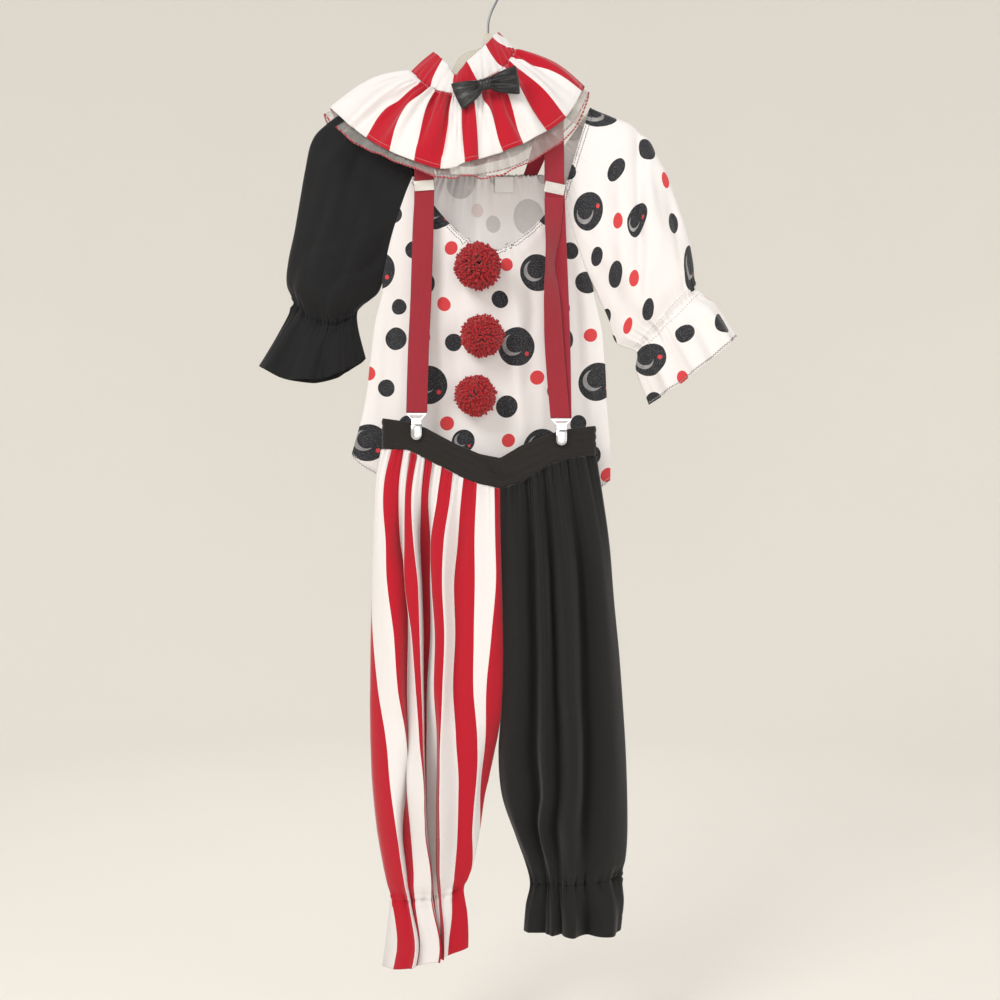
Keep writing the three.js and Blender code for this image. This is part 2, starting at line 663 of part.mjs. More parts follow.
function hangerHook() {
  const inside = WIRE / 2;
  const route = [
    [0, -90.6], [0.5, -74], [4.5, -60], [14, -40], [21, -22], [18, -8], [0, inside], [-18, -6], [-22, -22],
  ];
  const path = new THREE.CatmullRomCurve3(route.map(([x, z]) => new THREE.Vector3(x, 0, z)));
  const circle = new THREE.Shape().absarc(0, 0, WIRE / 2, 0, Math.PI * 2);
  return new THREE.ExtrudeGeometry(circle, { steps: 24, extrudePath: path, curveSegments: 4, bevelEnabled: false });
}

// ---- waistband ------------------------------------------------------------------------------------------------------
function waistband() {
  const [left, right] = [BAND[0].x, BAND[BAND.length - 1].x];
  return clothWall({
    columns: 44,
    rows: 1,
    closed: true,
    thickness: ELASTIC,
    pointAt: (u, v) => {
      const angle = u * 2 * Math.PI;
      const c = Math.cos(angle);
      const s = Math.sin(angle);
      const x = (left + right) / 2 - (right - left) / 2 * c;
      const depth = BAND_HALF_DEPTH * Math.sign(s) * Math.abs(s) ** 0.5;
      const z = THREE.MathUtils.lerp(readX(BAND, x, "top"), readX(BAND, x, "bottom"), v);
      return new THREE.Vector3(x, BAND_MIDDLE - depth, z);
    },
  });
}

// ---- assembly ----------------------------------------------------------------------------------------------------------
add("hanger_body", hangerBody(), FINISHES.plastic);
add("hanger_hook", hangerHook(), FINISHES.steel);
add("top_front", panel(-1), FINISHES.white);
add("top_back", panel(1), FINISHES.white);
add("sleeve_black", sleeve(BLACK_SLEEVE, -1), FINISHES.black);
add("sleeve_dotted", sleeve(DOTTED_SLEEVE, 1), FINISHES.white);
add("label", neckLabel(), FINISHES.label);
add("collar_band", collarStand(), FINISHES.stripe);
add("collar_ruffle", collarFlare(0, false, CLOTH, 0), FINISHES.stripe);
add("collar_underlayer", collarFlare(8, true, FILM, 5), FINISHES.film);
add("bow_left", bowLoop(-1, 34, 20, 24), FINISHES.satin);
add("bow_right", bowLoop(1, 38, 20, 8), FINISHES.satin);
add("bow_knot", bowKnot(), FINISHES.satin);
POMPOMS.forEach(({ x, z, radius }, i) => {
  const ball = new THREE.IcosahedronGeometry(radius, 2);
  ball.scale(1, 0.88, 1);
  add(`pompom_${i + 1}`, ball, FINISHES.yarn).position.set(x, -38 - radius * 0.88, z);
});
add("strap_left", ribbon(STRAP_LEFT), FINISHES.elastic);
add("strap_right", ribbon(STRAP_RIGHT), FINISHES.elastic);
add("strap_left_return", ribbon(STRAP_LEFT_RETURN, STRAP_WIDTH - 1), FINISHES.elastic);
add("strap_right_return", ribbon(STRAP_RIGHT_RETURN, STRAP_WIDTH - 1), FINISHES.elastic);
slider("slider_left", -93, -48, -330, -4);
slider("slider_right", 98, -48, -334, 12);
add("strap_patch", framePlate([[-22, -378], [22, -378], [26, -386], [14, -420], [-14, -420], [-26, -386]], null, 2), FINISHES.elastic)
  .position.set(0, 43, 0);
add("strap_tail", ribbon(STRAP_TAIL), FINISHES.elastic);
CLIPS.forEach(clip);
add("waistband", waistband(), FINISHES.band);
add("leg_striped", leg(STRIPED_LEG, -1), FINISHES.stripe);
add("leg_black", leg(BLACK_LEG, 1), FINISHES.black);

export default costume;
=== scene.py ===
"""Clown costume on a clothes hanger: ruff collar with bow, blouse with pom-poms, braces and trousers.

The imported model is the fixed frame. Each sub-assembly below is a class that works its cloth out in the
frame's millimetres, on a grid that runs across the piece with u and down it with v, and then sews it
into a thin shell. The sliders, levers and patch are modelled anew, and the hanger, rings and jaws stay
as they are in the frame and only get their finishes.
"""
import logging
import math
from dataclasses import dataclass, field
from enum import Enum
from typing import Callable, Optional, Sequence

import bmesh
import bpy
import numpy as np
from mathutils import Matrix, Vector


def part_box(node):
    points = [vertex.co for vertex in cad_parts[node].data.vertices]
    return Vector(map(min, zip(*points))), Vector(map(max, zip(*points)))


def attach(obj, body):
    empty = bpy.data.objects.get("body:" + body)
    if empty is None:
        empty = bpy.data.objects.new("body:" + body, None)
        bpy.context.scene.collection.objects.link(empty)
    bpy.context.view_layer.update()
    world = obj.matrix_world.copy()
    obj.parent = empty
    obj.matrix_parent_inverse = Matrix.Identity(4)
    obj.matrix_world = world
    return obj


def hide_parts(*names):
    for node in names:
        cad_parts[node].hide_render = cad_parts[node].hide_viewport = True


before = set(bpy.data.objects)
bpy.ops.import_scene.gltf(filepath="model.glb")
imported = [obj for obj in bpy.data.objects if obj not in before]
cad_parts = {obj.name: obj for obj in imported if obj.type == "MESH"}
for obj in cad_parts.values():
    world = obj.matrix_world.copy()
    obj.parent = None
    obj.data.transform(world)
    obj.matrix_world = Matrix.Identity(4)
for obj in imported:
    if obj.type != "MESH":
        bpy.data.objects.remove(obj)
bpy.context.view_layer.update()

log = logging.getLogger("costume")
MM = 0.001
ROOT = "root"
Array = np.ndarray
Colour = tuple[float, float, float]


class Hold(Enum):
    """How a sheet of cloth is held."""

    GATHERED = "gathered"
    HUNG = "hung"
    FOLDED = "folded"
    STRETCHED = "stretched"


class Slot(Enum):
    """The record's names for the finishes."""

    PLASTIC = "clear_plastic"
    WIRE = "steel_wire"
    DOTTED = "dotted_cloth"
    BLACK = "black_cloth"
    STRIPED = "striped_cloth"
    FILM = "clear_film"
    SATIN = "black_satin"
    YARN = "red_yarn"
    RED_ELASTIC = "red_elastic"
    BLACK_ELASTIC = "black_elastic"
    STEEL = "clip_steel"
    LABEL = "label_tape"


# ---- driving sizes, in millimetres ---------------------------------------------------------------------
CLOTH = 1.0
FILM = 0.6
ELASTIC = 1.8
CLOSED_GAP = 0.65
SIDE_GAP = 0.75
STRAP_WIDTH = 29.0
NECK_DIP = 99.0
HEM_DIP = 32.0
SLEEVE_MIDDLE = -4.0
BAND_MIDDLE = -62.0
BAND_HALF_DEPTH = 9.5
BAND_CLEARANCE = 1.0
RAGLAN_ROWS = 6


def rgb(code: int) -> Colour:
    """Returns the linear colour of a display colour code."""
    parts = [((code >> shift) & 255) / 255 for shift in (16, 8, 0)]
    return tuple(c / 12.92 if c <= 0.04045 else ((c + 0.055) / 1.055) ** 2.4 for c in parts)


# ---- tables --------------------------------------------------------------------------------------------
def table(columns: str, rows: Sequence[Sequence[float]]) -> dict[str, Array]:
    """Turns rows into named columns.

    Args:
        columns: the names of the columns, with spaces between them.
        rows: one list of numbers for each section.

    Returns:
        An array for each column.
    """
    return {name: np.array([row[i] for row in rows], float) for i, name in enumerate(columns.split())}


def catmull(values: Array, place: Array, closed: bool = False) -> Array:
    """Reads a column, or the first axis of a table, on a smooth curve through its rows.

    Args:
        values: one value, or one array, for each row.
        place: where to read, counted in rows.
        closed: whether the last row joins the first.

    Returns:
        The values at those places.
    """
    count = len(values)
    top = count if closed else count - 1
    base = np.clip(np.floor(place).astype(int), 0, top - 1)
    part = place - base
    if values.ndim > 1:
        part = part[..., None]
    near = [(base + k) % count if closed else np.clip(base + k, 0, count - 1) for k in (-1, 0, 1, 2)]
    a, b, c, d = (values[i] for i in near)
    return 0.5 * (2 * b + (c - a) * part + (2 * a - 5 * b + 4 * c - d) * part ** 2
                  + (3 * b - a - 3 * c + d) * part ** 3)


def smoothstep(low: float, high: float, x: Array) -> Array:
    """Returns 0 below low, 1 above high and a soft step between them."""
    t = np.clip((x - low) / (high - low), 0, 1)
    return t * t * (3 - 2 * t)


def ridge(x: Array, middle: float, width: float) -> Array:
    """Returns 1 at the middle and a soft fall to 0 on both sides."""
    return np.exp(-((x - middle) / width) ** 2)


def fading(x: Array, reach: float) -> Array:
    """Returns 1 at 0 and less with distance from it."""
    return np.exp(-np.abs(x) / reach)


def inset(u: Array, margin: float) -> Array:
    """Returns 1, with a soft fall to 0 at both ends of 0 to 1."""
    return smoothstep(0, margin, u) * (1 - smoothstep(1 - margin, 1, u))


def run_length(line: Array) -> Array:
    """Returns how far along a line of points each of them lies."""
    return np.concatenate([[0], np.cumsum(np.linalg.norm(np.diff(line, axis=0), axis=1))])


BODY = table("leftX leftZ leftRise leftIn rightX rightZ rightRise rightIn edgeFront edgeBack front back", [
    [-111, -310, 12, 16, 111, -337, 38, 26, 22, 24, -31, 24],
    [-121, -334, 11, 14, 118, -361, 33, 22, 22, 24, -32, 24],
    [-132, -364, 9, 11, 128, -396, 24, 16, 19, 20, -33, 25],
    [-142, -394, 7, 8, 137, -422, 16, 10, 15, 15, -34, 26],
    [-150, -424, 4, 4, 146, -446, 9, 5, 10, 10, -35, 27],
    [-157, -456, 1, 1, 154, -463, 3, 2, 5, 5, -36, 28],
    [-159, -482, 0, 0, 161, -491, 0, 0, SIDE_GAP, SIDE_GAP, -36, 28],
    [-169, -521, 0, 0, 171, -536, 0, 0, SIDE_GAP, SIDE_GAP, -35, 27],
    [-175, -566, 0, 0, 175, -581, 0, 0, SIDE_GAP, SIDE_GAP, -34, 26],
    [-180, -618, 0, 0, 178, -641, 0, 0, SIDE_GAP, SIDE_GAP, -33, 25],
    [-190, -671, 0, 0, 183, -702, 0, 0, SIDE_GAP, SIDE_GAP, -33, 24],
    [-205, -726, 0, 0, 183, -762, 0, 0, SIDE_GAP, SIDE_GAP, -34, 22],
])
SLEEVE_COLUMNS = "inX inZ outX outZ front back sag"
BLACK_SLEEVE = table(SLEEVE_COLUMNS, [
    [-111, -310, -152, -199, 13, 13, 0],
    [-121, -334, -207, -207, 13, 14, 0],
    [-132, -364, -245, -232, 16, 18, 0],
    [-142, -394, -263, -256, 26, 22, 0],
    [-150, -424, -272, -299, 30, 26, 0],
    [-157, -456, -280, -349, 34, 30, 0],
    [-164, -479, -287, -392, 36, 32, 2],
    [-177, -491, -296, -434, 36, 32, 8],
    [-189, -500, -299, -467, 30, 26, 18],
    [-196, -511, -290, -496, 17, 15, 26],
    [-194, -536, -311, -536, 26, 24, 27],
    [-183, -579, -343, -590, 34, 32, 28],
])
DOTTED_SLEEVE = table(SLEEVE_COLUMNS, [
    [111, -337, 152, -205, 13, 13, 0],
    [118, -361, 186, -218, 14, 14, 0],
    [128, -396, 222, -236, 20, 18, 0],
    [137, -422, 242, -258, 26, 22, 0],
    [146, -446, 255, -282, 30, 26, 0],
    [154, -463, 267, -307, 33, 29, 0],
    [167, -490, 281, -347, 34, 30, 0],
    [181, -521, 295, -388, 34, 30, 0],
    [192, -555, 305, -434, 30, 26, 2],
    [222, -569, 311, -475, 17, 15, 0],
    [222, -597, 341, -500, 26, 24, 0],
    [241, -648, 371, -548, 34, 32, 4],
])
LEG_COLUMNS = "inX inZ outX outZ middle front back frontGap backGap sag"
STRIPED_LEG = table(LEG_COLUMNS, [
    [18, -774, -151, -716, -62, 9.5, 9.5, 9.5, 9.5, 0],
    [18.5, -823, -161, -764, -62, 20, 14, 16, 10, 0],
    [20, -885, -164, -849, -59, 28, 24, 24, 20, 0],
    [21.5, -951, -167, -937, -56, 32, 30, 28, 26, 0],
    [22.5, -1025, -170, -1017, -53, 34, 32, 28, 26, 0],
    [20, -1098, -171, -1098, -51, 34, 32, 20, 18, 0],
    [10, -1159, -169, -1164, -50, 34, 32, CLOSED_GAP, CLOSED_GAP, 0],
    [-4, -1222, -164, -1230, -50, 32, 30, CLOSED_GAP, CLOSED_GAP, 0],
    [-17, -1288, -156, -1296, -50, 29, 26, CLOSED_GAP, CLOSED_GAP, 0],
    [-29, -1337, -147, -1347, -50, 23, 21, CLOSED_GAP, CLOSED_GAP, 3],
    [-36, -1357, -142, -1373, -50, 16, 15, CLOSED_GAP, CLOSED_GAP, 6],
    [-32, -1394, -149, -1420, -50, 24, 22, CLOSED_GAP, CLOSED_GAP, 6],
    [-32, -1443, -159, -1473, -50, 30, 28, CLOSED_GAP, CLOSED_GAP, 4],
])
BLACK_LEG = table(LEG_COLUMNS, [
    [18, -774, 155, -724, -62, 9.5, 9.5, 9.5, 9.5, 0],
    [18.5, -823, 166, -783, -62, 20, 14, 16, 10, 0],
    [20, -885, 177, -856, -59, 28, 24, 24, 20, 0],
    [21.5, -951, 184, -937, -56, 32, 30, 28, 26, 0],
    [22.5, -1025, 192, -1017, -53, 34, 32, 28, 26, 0],
    [20, -1098, 198, -1098, -51, 34, 32, 20, 18, 0],
    [16, -1159, 202, -1164, -50, 34, 32, CLOSED_GAP, CLOSED_GAP, 0],
    [21, -1222, 204, -1230, -50, 33, 30, CLOSED_GAP, CLOSED_GAP, 0],
    [41, -1281, 204, -1281, -50, 31, 28, CLOSED_GAP, CLOSED_GAP, 0],
    [55, -1320, 201, -1315, -50, 25, 23, CLOSED_GAP, CLOSED_GAP, 2],
    [62, -1351, 194, -1341, -50, 17, 16, CLOSED_GAP, CLOSED_GAP, 3],
    [56, -1383, 200, -1379, -50, 24, 22, CLOSED_GAP, CLOSED_GAP, 2],
    [53, -1420, 197, -1420, -50, 28, 26, CLOSED_GAP, CLOSED_GAP, 1],
])
BAND = table("x top bottom", [
    [-152, -672, -715], [-118, -677, -716], [-90, -686, -729], [-47, -709, -752], [-11, -724, -767],
    [18, -730, -773], [48, -712, -764], [89, -695, -738], [121, -687, -728], [156, -683, -724],
])
COLLAR = table("topX topY topZ seamX seamY seamZ hemX hemY hemZ extra", [
    [-81, -4, -120, -114, -5, -150, -233, 2, -208, 14],
    [-71, -18, -132, -100, -30, -170, -191, -38, -247, 16],
    [-60, -28, -145, -80, -42, -185, -142, -60, -284, 10],
    [-48, -34, -163, -54, -48, -194, -69, -73, -309, 12],
    [-31, -38, -145, -32, -50, -183, -30, -74, -303, 20],
    [-12, -34, -127, -8, -46, -174, 0, -69, -291, 31],
    [2, -24, -110, 18, -34, -156, 51, -64, -274, 30],
    [11, -8, -94, 33, -18, -133, 114, -36, -226, 22],
    [16, 6, -89, 39, 2, -115, 143, 6, -171, 12],
    [13, 24, -99, 30, 30, -124, 118, 38, -208, 14],
    [-13, 36, -131, 0, 44, -166, 45, 55, -258, 16],
    [-40, 38, -143, -43, 46, -186, -44, 58, -276, 16],
    [-64, 30, -133, -86, 38, -170, -140, 50, -264, 16],
    [-77, 12, -121, -111, 18, -152, -217, 26, -229, 14],
])
STRAP_COLUMNS = "x y z turn lean"
STRAP_LEFT = table(STRAP_COLUMNS, [
    [-102, -72, -664, 0, 0], [-100, -62, -572, 0, 0], [-97, -54, -498, 0, 0], [-94, -49, -394, 0, 0],
    [-93, -46, -328, 0, 0], [-94, -34, -274, 0, 0], [-95, -14, -212, 0, 12], [-95, -7, -179, 0, 33],
    [-95, 7, -179, 0, 33], [-92, 14, -206, 0, 10], [-72, 36, -282, 0, -22], [-26, 38, -376, 0, -30],
])
STRAP_RIGHT = table(STRAP_COLUMNS, [
    [107, -72, -672, 0, 0], [106, -60, -573, 0, 0], [104, -53, -498, 0, 0], [100, -49, -394, 0, 0],
    [98, -46, -328, 0, 0], [98, -34, -274, 0, 0], [98, -14, -214, 0, -12], [98, -7, -181, 0, -33],
    [98, 7, -181, 0, -33], [93, 14, -208, 0, -10], [70, 36, -282, 0, 22], [24, 38, -376, 0, 30],
])
STRAP_LEFT_RETURN = table(STRAP_COLUMNS, [
    [-93, -43, -342, 0, 0], [-96, -46, -394, 2, 0], [-99, -51, -498, 3, 0], [-102, -59, -572, 3, 0],
    [-104, -69, -664, 2, 0],
])
STRAP_RIGHT_RETURN = table(STRAP_COLUMNS, [
    [97, -52, -349, 6, 0], [95, -61, -400, 40, 0], [91, -67, -450, 62, 0], [93, -67, -484, 40, 0],
    [97, -67, -572, 10, 0], [105, -76, -672, 0, 0],
])
STRAP_TAIL = table(STRAP_COLUMNS, [[-1, 38, -424, 0, 0], [1, 39, -520, 0, 0], [2, 39, -640, 0, 0]])
POMPOMS = table("x z radius", [[-14, -451, 33], [-8, -552, 30], [-18, -639, 29]])

# Folds of the trouser fronts. A row for each height: where each line of the cloth hangs, as a share of
# the leg's width from its inner edge, and how far it stands out of the leg. Past 1 it is round the side.
STRIPED_HEIGHTS = np.array([
    -700, -790, -850, -909, -983, -1066, -1140, -1199, -1273, -1327, -1366, -1428, -1480.0,
])
STRIPED_LINES = np.array([
    [0.00, 0.06, 0.20, 0.31, 0.41, 0.50, 0.58, 0.65, 0.71, 0.77, 0.83, 0.93, 1.02, 1.12],
    [0.00, 0.05, 0.20, 0.32, 0.41, 0.51, 0.58, 0.64, 0.71, 0.76, 0.82, 0.93, 1.02, 1.12],
    [0.00, 0.05, 0.21, 0.34, 0.45, 0.55, 0.56, 0.65, 0.68, 0.75, 0.81, 0.89, 1.01, 1.10],
    [0.00, 0.05, 0.21, 0.37, 0.46, 0.54, 0.56, 0.63, 0.64, 0.74, 0.75, 0.87, 1.01, 1.10],
    [0.00, 0.09, 0.22, 0.36, 0.44, 0.51, 0.55, 0.61, 0.62, 0.68, 0.73, 0.81, 0.98, 1.09],
    [0.00, 0.13, 0.22, 0.37, 0.45, 0.51, 0.57, 0.60, 0.60, 0.64, 0.73, 0.77, 0.93, 1.05],
    [0.00, 0.11, 0.17, 0.32, 0.45, 0.47, 0.56, 0.58, 0.58, 0.60, 0.712, 0.715, 0.86, 1.01],
    [-0.02, 0.08, 0.13, 0.26, 0.43, 0.44, 0.54, 0.55, 0.55, 0.55, 0.712, 0.715, 0.83, 1.01],
    [-0.09, 0.00, 0.09, 0.21, 0.40, 0.41, 0.51, 0.51, 0.52, 0.52, 0.68, 0.78, 0.79, 1.02],
    [-0.15, -0.07, 0.00, 0.18, 0.37, 0.38, 0.44, 0.45, 0.45, 0.46, 0.66, 0.76, 0.77, 1.00],
    [-0.19, -0.10, -0.03, 0.16, 0.31, 0.33, 0.38, 0.40, 0.42, 0.43, 0.66, 0.73, 0.74, 0.97],
    [-0.18, -0.10, 0.00, 0.20, 0.28, 0.29, 0.30, 0.30, 0.31, 0.33, 0.55, 0.57, 0.59, 0.83],
    [-0.18, -0.10, 0.00, 0.20, 0.27, 0.28, 0.30, 0.31, 0.33, 0.35, 0.56, 0.58, 0.60, 0.83],
])
UPPER_DEPTHS = [0, 9, 6, -6, 12, 4, -14, -17, 11, 7, -12, 8, 2, 0]
LOWER_DEPTHS = [0, 4, 8, 0, 15, -11, -14, -9, 2, 13, -6, -12, 8, 2]
DEPTH_SHARES = np.array([
    [0.15, 0], [0.45, 0], [1, 0], [1, 0], [1, 0], [1, 0], [0.5, 0.5], [0, 1], [0, 1], [0, 0.7], [0, 0.35],
    [0, 0.8], [0, 0.8],
])
STRIPED_DEPTHS = DEPTH_SHARES @ np.array([UPPER_DEPTHS, LOWER_DEPTHS], float)
BLACK_HEIGHTS = np.array([-700, -790, -912, -1060, -1156, -1220, -1273, -1346, -1407, -1430.0])
BLACK_LINES = np.array([
    [0.00, 0.14, 0.28, 0.37, 0.46, 0.58, 0.70, 0.83, 1.00, 1.14],
    [0.00, 0.14, 0.29, 0.37, 0.46, 0.58, 0.70, 0.83, 1.00, 1.14],
    [0.00, 0.13, 0.27, 0.37, 0.45, 0.58, 0.72, 0.85, 1.00, 1.13],
    [0.00, 0.12, 0.26, 0.35, 0.44, 0.56, 0.69, 0.84, 1.00, 1.13],
    [0.00, 0.12, 0.26, 0.36, 0.46, 0.58, 0.69, 0.85, 1.00, 1.13],
    [0.00, 0.11, 0.27, 0.35, 0.44, 0.56, 0.67, 0.83, 1.00, 1.13],
    [0.00, 0.08, 0.18, 0.25, 0.35, 0.49, 0.62, 0.80, 1.00, 1.13],
    [0.00, 0.09, 0.18, 0.25, 0.31, 0.44, 0.58, 0.79, 1.00, 1.13],
    [0.00, 0.10, 0.21, 0.30, 0.35, 0.48, 0.63, 0.82, 1.00, 1.13],
    [0.00, 0.10, 0.21, 0.30, 0.35, 0.48, 0.63, 0.82, 1.00, 1.13],
])
BLACK_SHARES = [0.2, 0.6, 1.35, 1.4, 1.4, 1.35, 1.2, 0.45, 1, 1]
BLACK_DEPTHS = np.outer(BLACK_SHARES, [0, 8, -10, 5, -12, 10, -9, 9, 0, 0])


# ---- shaders -------------------------------------------------------------------------------------------
class Value:
    """A socket that carries one number, with Python's operators as Math nodes."""

    def __init__(self, shader: "Shader", socket: bpy.types.NodeSocket) -> None:
        """Keeps the socket and the shader it belongs to."""
        self.shader = shader
        self.socket = socket

    def math(self, operation: str, *others: "Value | float", swap: bool = False) -> "Value":
        """Adds a Math node.

        Args:
            operation: the Math node's operation.
            others: its further operands.
            swap: whether this value comes second.

        Returns:
            The node's result.
        """
        operands = [self, *others]
        if swap:
            operands.reverse()
        node = self.shader.node("ShaderNodeMath", {"operation": operation}, dict(enumerate(operands)))
        return Value(self.shader, node.outputs[0])

    def __add__(self, other: "Value | float") -> "Value":
        """Adds."""
        return self.math("ADD", other)

    def __sub__(self, other: "Value | float") -> "Value":
        """Subtracts."""
        return self.math("SUBTRACT", other)

    def __rsub__(self, other: float) -> "Value":
        """Subtracts this from a number."""
        return self.math("SUBTRACT", other, swap=True)

    def __mul__(self, other: "Value | float") -> "Value":
        """Multiplies."""
        return self.math("MULTIPLY", other)

    def __gt__(self, other: "Value | float") -> "Value":
        """Returns 1 where this is the greater."""
        return self.math("GREATER_THAN", other)

    def __lt__(self, other: "Value | float") -> "Value":
        """Returns 1 where this is the lesser."""
        return self.math("LESS_THAN", other)

    def __mod__(self, other: float) -> "Value":
        """Returns what is left after whole steps of other, never below 0."""
        return self.math("FLOORED_MODULO", other)

    def most(self, other: "Value | float") -> "Value":
        """Returns the greater of the two."""
        return self.math("MAXIMUM", other)

    def wave(self) -> "Value":
        """Returns the sine."""
        return self.math("SINE")


class Shader:
    """One material and the nodes that are added to it."""

    def __init__(self, name: str) -> None:
        """Starts an empty material with one Principled shader."""
        self.material = bpy.data.materials.new(name)
        self.material.use_nodes = True
        self.tree = self.material.node_tree
        self.tree.nodes.clear()
        self.output = self.tree.nodes.new("ShaderNodeOutputMaterial")
        self.surface = self.tree.nodes.new("ShaderNodeBsdfPrincipled")
        self.tree.links.new(self.surface.outputs[0], self.output.inputs[0])

    def feed(self, socket: bpy.types.NodeSocket, value: object) -> None:
        """Links a socket or a Value to an input, or sets the input's own number or colour."""
        if isinstance(value, Value):
            value = value.socket
        if isinstance(value, bpy.types.NodeSocket):
            self.tree.links.new(value, socket)
        elif isinstance(value, tuple) and len(value) == 3 and socket.type == "RGBA":
            socket.default_value = (*value, 1.0)
        else:
            socket.default_value = value

    def node(self, kind: str, settings: dict, inputs: dict) -> bpy.types.Node:
        """Adds any node.

        Args:
            kind: the node's type.
            settings: its own properties, set first. A ramp's stops are under "stops".
            inputs: the values or links of its sockets, by name or number.

        Returns:
            The node.
        """
        node = self.tree.nodes.new(kind)
        for name, value in settings.items():
            if name == "stops":
                ramp = node.color_ramp
                for i, (place, colour) in enumerate(value):
                    stop = ramp.elements[i] if i < 2 else ramp.elements.new(place)
                    stop.position = place
                    stop.color = (*colour, 1.0)
            else:
                setattr(node, name, value)
        for name, value in inputs.items():
            self.feed(node.inputs[name], value)
        return node

    def cloth_map(self) -> bpy.types.NodeSocket:
        """Returns the place on the flat cloth, in metres."""
        return self.node("ShaderNodeUVMap", {"uv_map": "cloth"}, {}).outputs[0]

    def place(self) -> bpy.types.NodeSocket:
        """Returns the place in the costume's frame, in metres."""
        return self.node("ShaderNodeTexCoord", {}, {}).outputs["Object"]

    def split(self, vector: bpy.types.NodeSocket) -> tuple[Value, Value, Value]:
        """Returns a vector's three numbers."""
        node = self.node("ShaderNodeSeparateXYZ", {}, {0: vector})
        return tuple(Value(self, out) for out in node.outputs)

    def stretched(self, vector: bpy.types.NodeSocket,
                  scale: tuple[float, float, float]) -> bpy.types.NodeSocket:
        """Returns a place with each of its directions scaled."""
        return self.node("ShaderNodeMapping", {}, {"Vector": vector, "Scale": scale}).outputs[0]

    def noise(self, vector: bpy.types.NodeSocket, scale: float, detail: float = 2.0) -> Value:
        """Returns soft noise from 0 to 1."""
        node = self.node("ShaderNodeTexNoise", {}, {"Vector": vector, "Scale": scale, "Detail": detail})
        return Value(self, node.outputs[0])

    def mix(self, share: "Value | float", first: object, second: object,
            way: str = "MIX") -> bpy.types.NodeSocket:
        """Blends two colours.

        Args:
            share: 0 for the first colour and 1 for the second.
            first: the first colour.
            second: the second colour.
            way: how the second one is blended in.

        Returns:
            The blended colour.
        """
        node = self.node("ShaderNodeMix", {"data_type": "RGBA", "blend_type": way}, {})
        self.feed(node.inputs[0], share)
        self.feed(node.inputs[6], first)
        self.feed(node.inputs[7], second)
        return node.outputs[2]

    def bump(self, height: Value, depth: float, strength: float = 1.0) -> bpy.types.NodeSocket:
        """Returns the normal of a height that is depth metres deep."""
        node = self.node("ShaderNodeBump", {}, {"Height": height, "Distance": depth, "Strength": strength})
        return node.outputs[0]

    def finish(self, **sockets: object) -> bpy.types.Material:
        """Feeds the shader's sockets, named with _ for a space, and returns the material."""
        for name, value in sockets.items():
            self.feed(self.surface.inputs[name.replace("_", " ").title().replace("Ior", "IOR")], value)
        return self.material


@dataclass(frozen=True)
class Knit:
    """Soft knitted cloth of one colour, with fine ribs, a little pilling and tired creases, and painted shade
    in its folds where the mesh carries it.
    """

    name: str
    colour: Colour
    shade: Colour
    roughness: float = 0.85
    sheen: float = 0.25
    crease: float = 0.0016
    # Strength of the painted shade that darkens this cloth's fold valleys, read from a per-point attribute of
    # the mesh.
    painted_fold_shade: float = 0.0

    def colour_on(self, shader: Shader, flat: bpy.types.NodeSocket) -> object:
        """Returns the cloth's colour, before its shading. Printed cloths replace this."""
        return self.colour

    def material(self) -> bpy.types.Material:
        """Returns the finished cloth."""
        shader = Shader(self.name)
        flat = shader.cloth_map()
        where = shader.place()
        across, along, _ = shader.split(flat)
        ribs = (across * 5200.0).wave() * 0.5 + (along * 4100.0).wave() * 0.5
        creases = shader.noise(shader.stretched(where, (1.0, 1.0, 0.35)), 34.0, 3.0)
        pilling = shader.noise(where, 900.0, 1.0)
        mottled = shader.noise(where, 9.0, 2.0)
        normal = shader.bump(creases + ribs * 0.05 + pilling * 0.05, self.crease, 0.55)
        colour = shader.mix(mottled * 0.35 + pilling * 0.1,
                            self.colour_on(shader, flat), self.shade_on(shader, flat))
        # Painted shade: multiplies the colour towards near-black where the mesh's per-point attribute marks
        # fold valleys and gather troughs.
        if self.painted_fold_shade:
            shaded = shader.node("ShaderNodeAttribute", {"attribute_name": "painted_fold_shade"}, {}).outputs["Fac"]
            colour = shader.mix(Value(shader, shaded) * self.painted_fold_shade, colour, (0.06, 0.05, 0.05), "MULTIPLY")
        rough = mottled * 0.08 + (self.roughness - 0.04)
        return shader.finish(base_color=colour, roughness=rough, normal=normal,
                             sheen_weight=self.sheen, sheen_roughness=0.5, specular_ior_level=0.25)

    def shade_on(self, shader: Shader, flat: bpy.types.NodeSocket) -> object:
        """Returns the colour of the cloth's duller patches."""
        return self.shade


@dataclass(frozen=True)
class StripedKnit(Knit):
    """Knit with printed stripes that run down the cloth."""

    stripe: Colour = (0.6, 0.0, 0.0)
    width: float = 35.0
    start: float = 0.0

    def stripes(self, shader: Shader, flat: bpy.types.NodeSocket) -> Value:
        """Returns 1 on the second colour's stripes."""
        across, _, _ = shader.split(flat)
        step = self.width * MM
        return ((across - self.start * MM) % (2 * step)) > step

    def colour_on(self, shader: Shader, flat: bpy.types.NodeSocket) -> object:
        """Returns the striped colour."""
        return shader.mix(self.stripes(shader, flat), self.colour, self.stripe)

    def shade_on(self, shader: Shader, flat: bpy.types.NodeSocket) -> object:
        """Returns the stripes as their duller patches show them."""
        dull = tuple(0.82 * c for c in self.stripe)
        return shader.mix(self.stripes(shader, flat), self.shade, dull)


@dataclass(frozen=True)
class Dot:
    """One printed dot of the repeat, in millimetres."""

    x: float
    y: float
    radius: float
    red: bool = False
    moon: bool = False


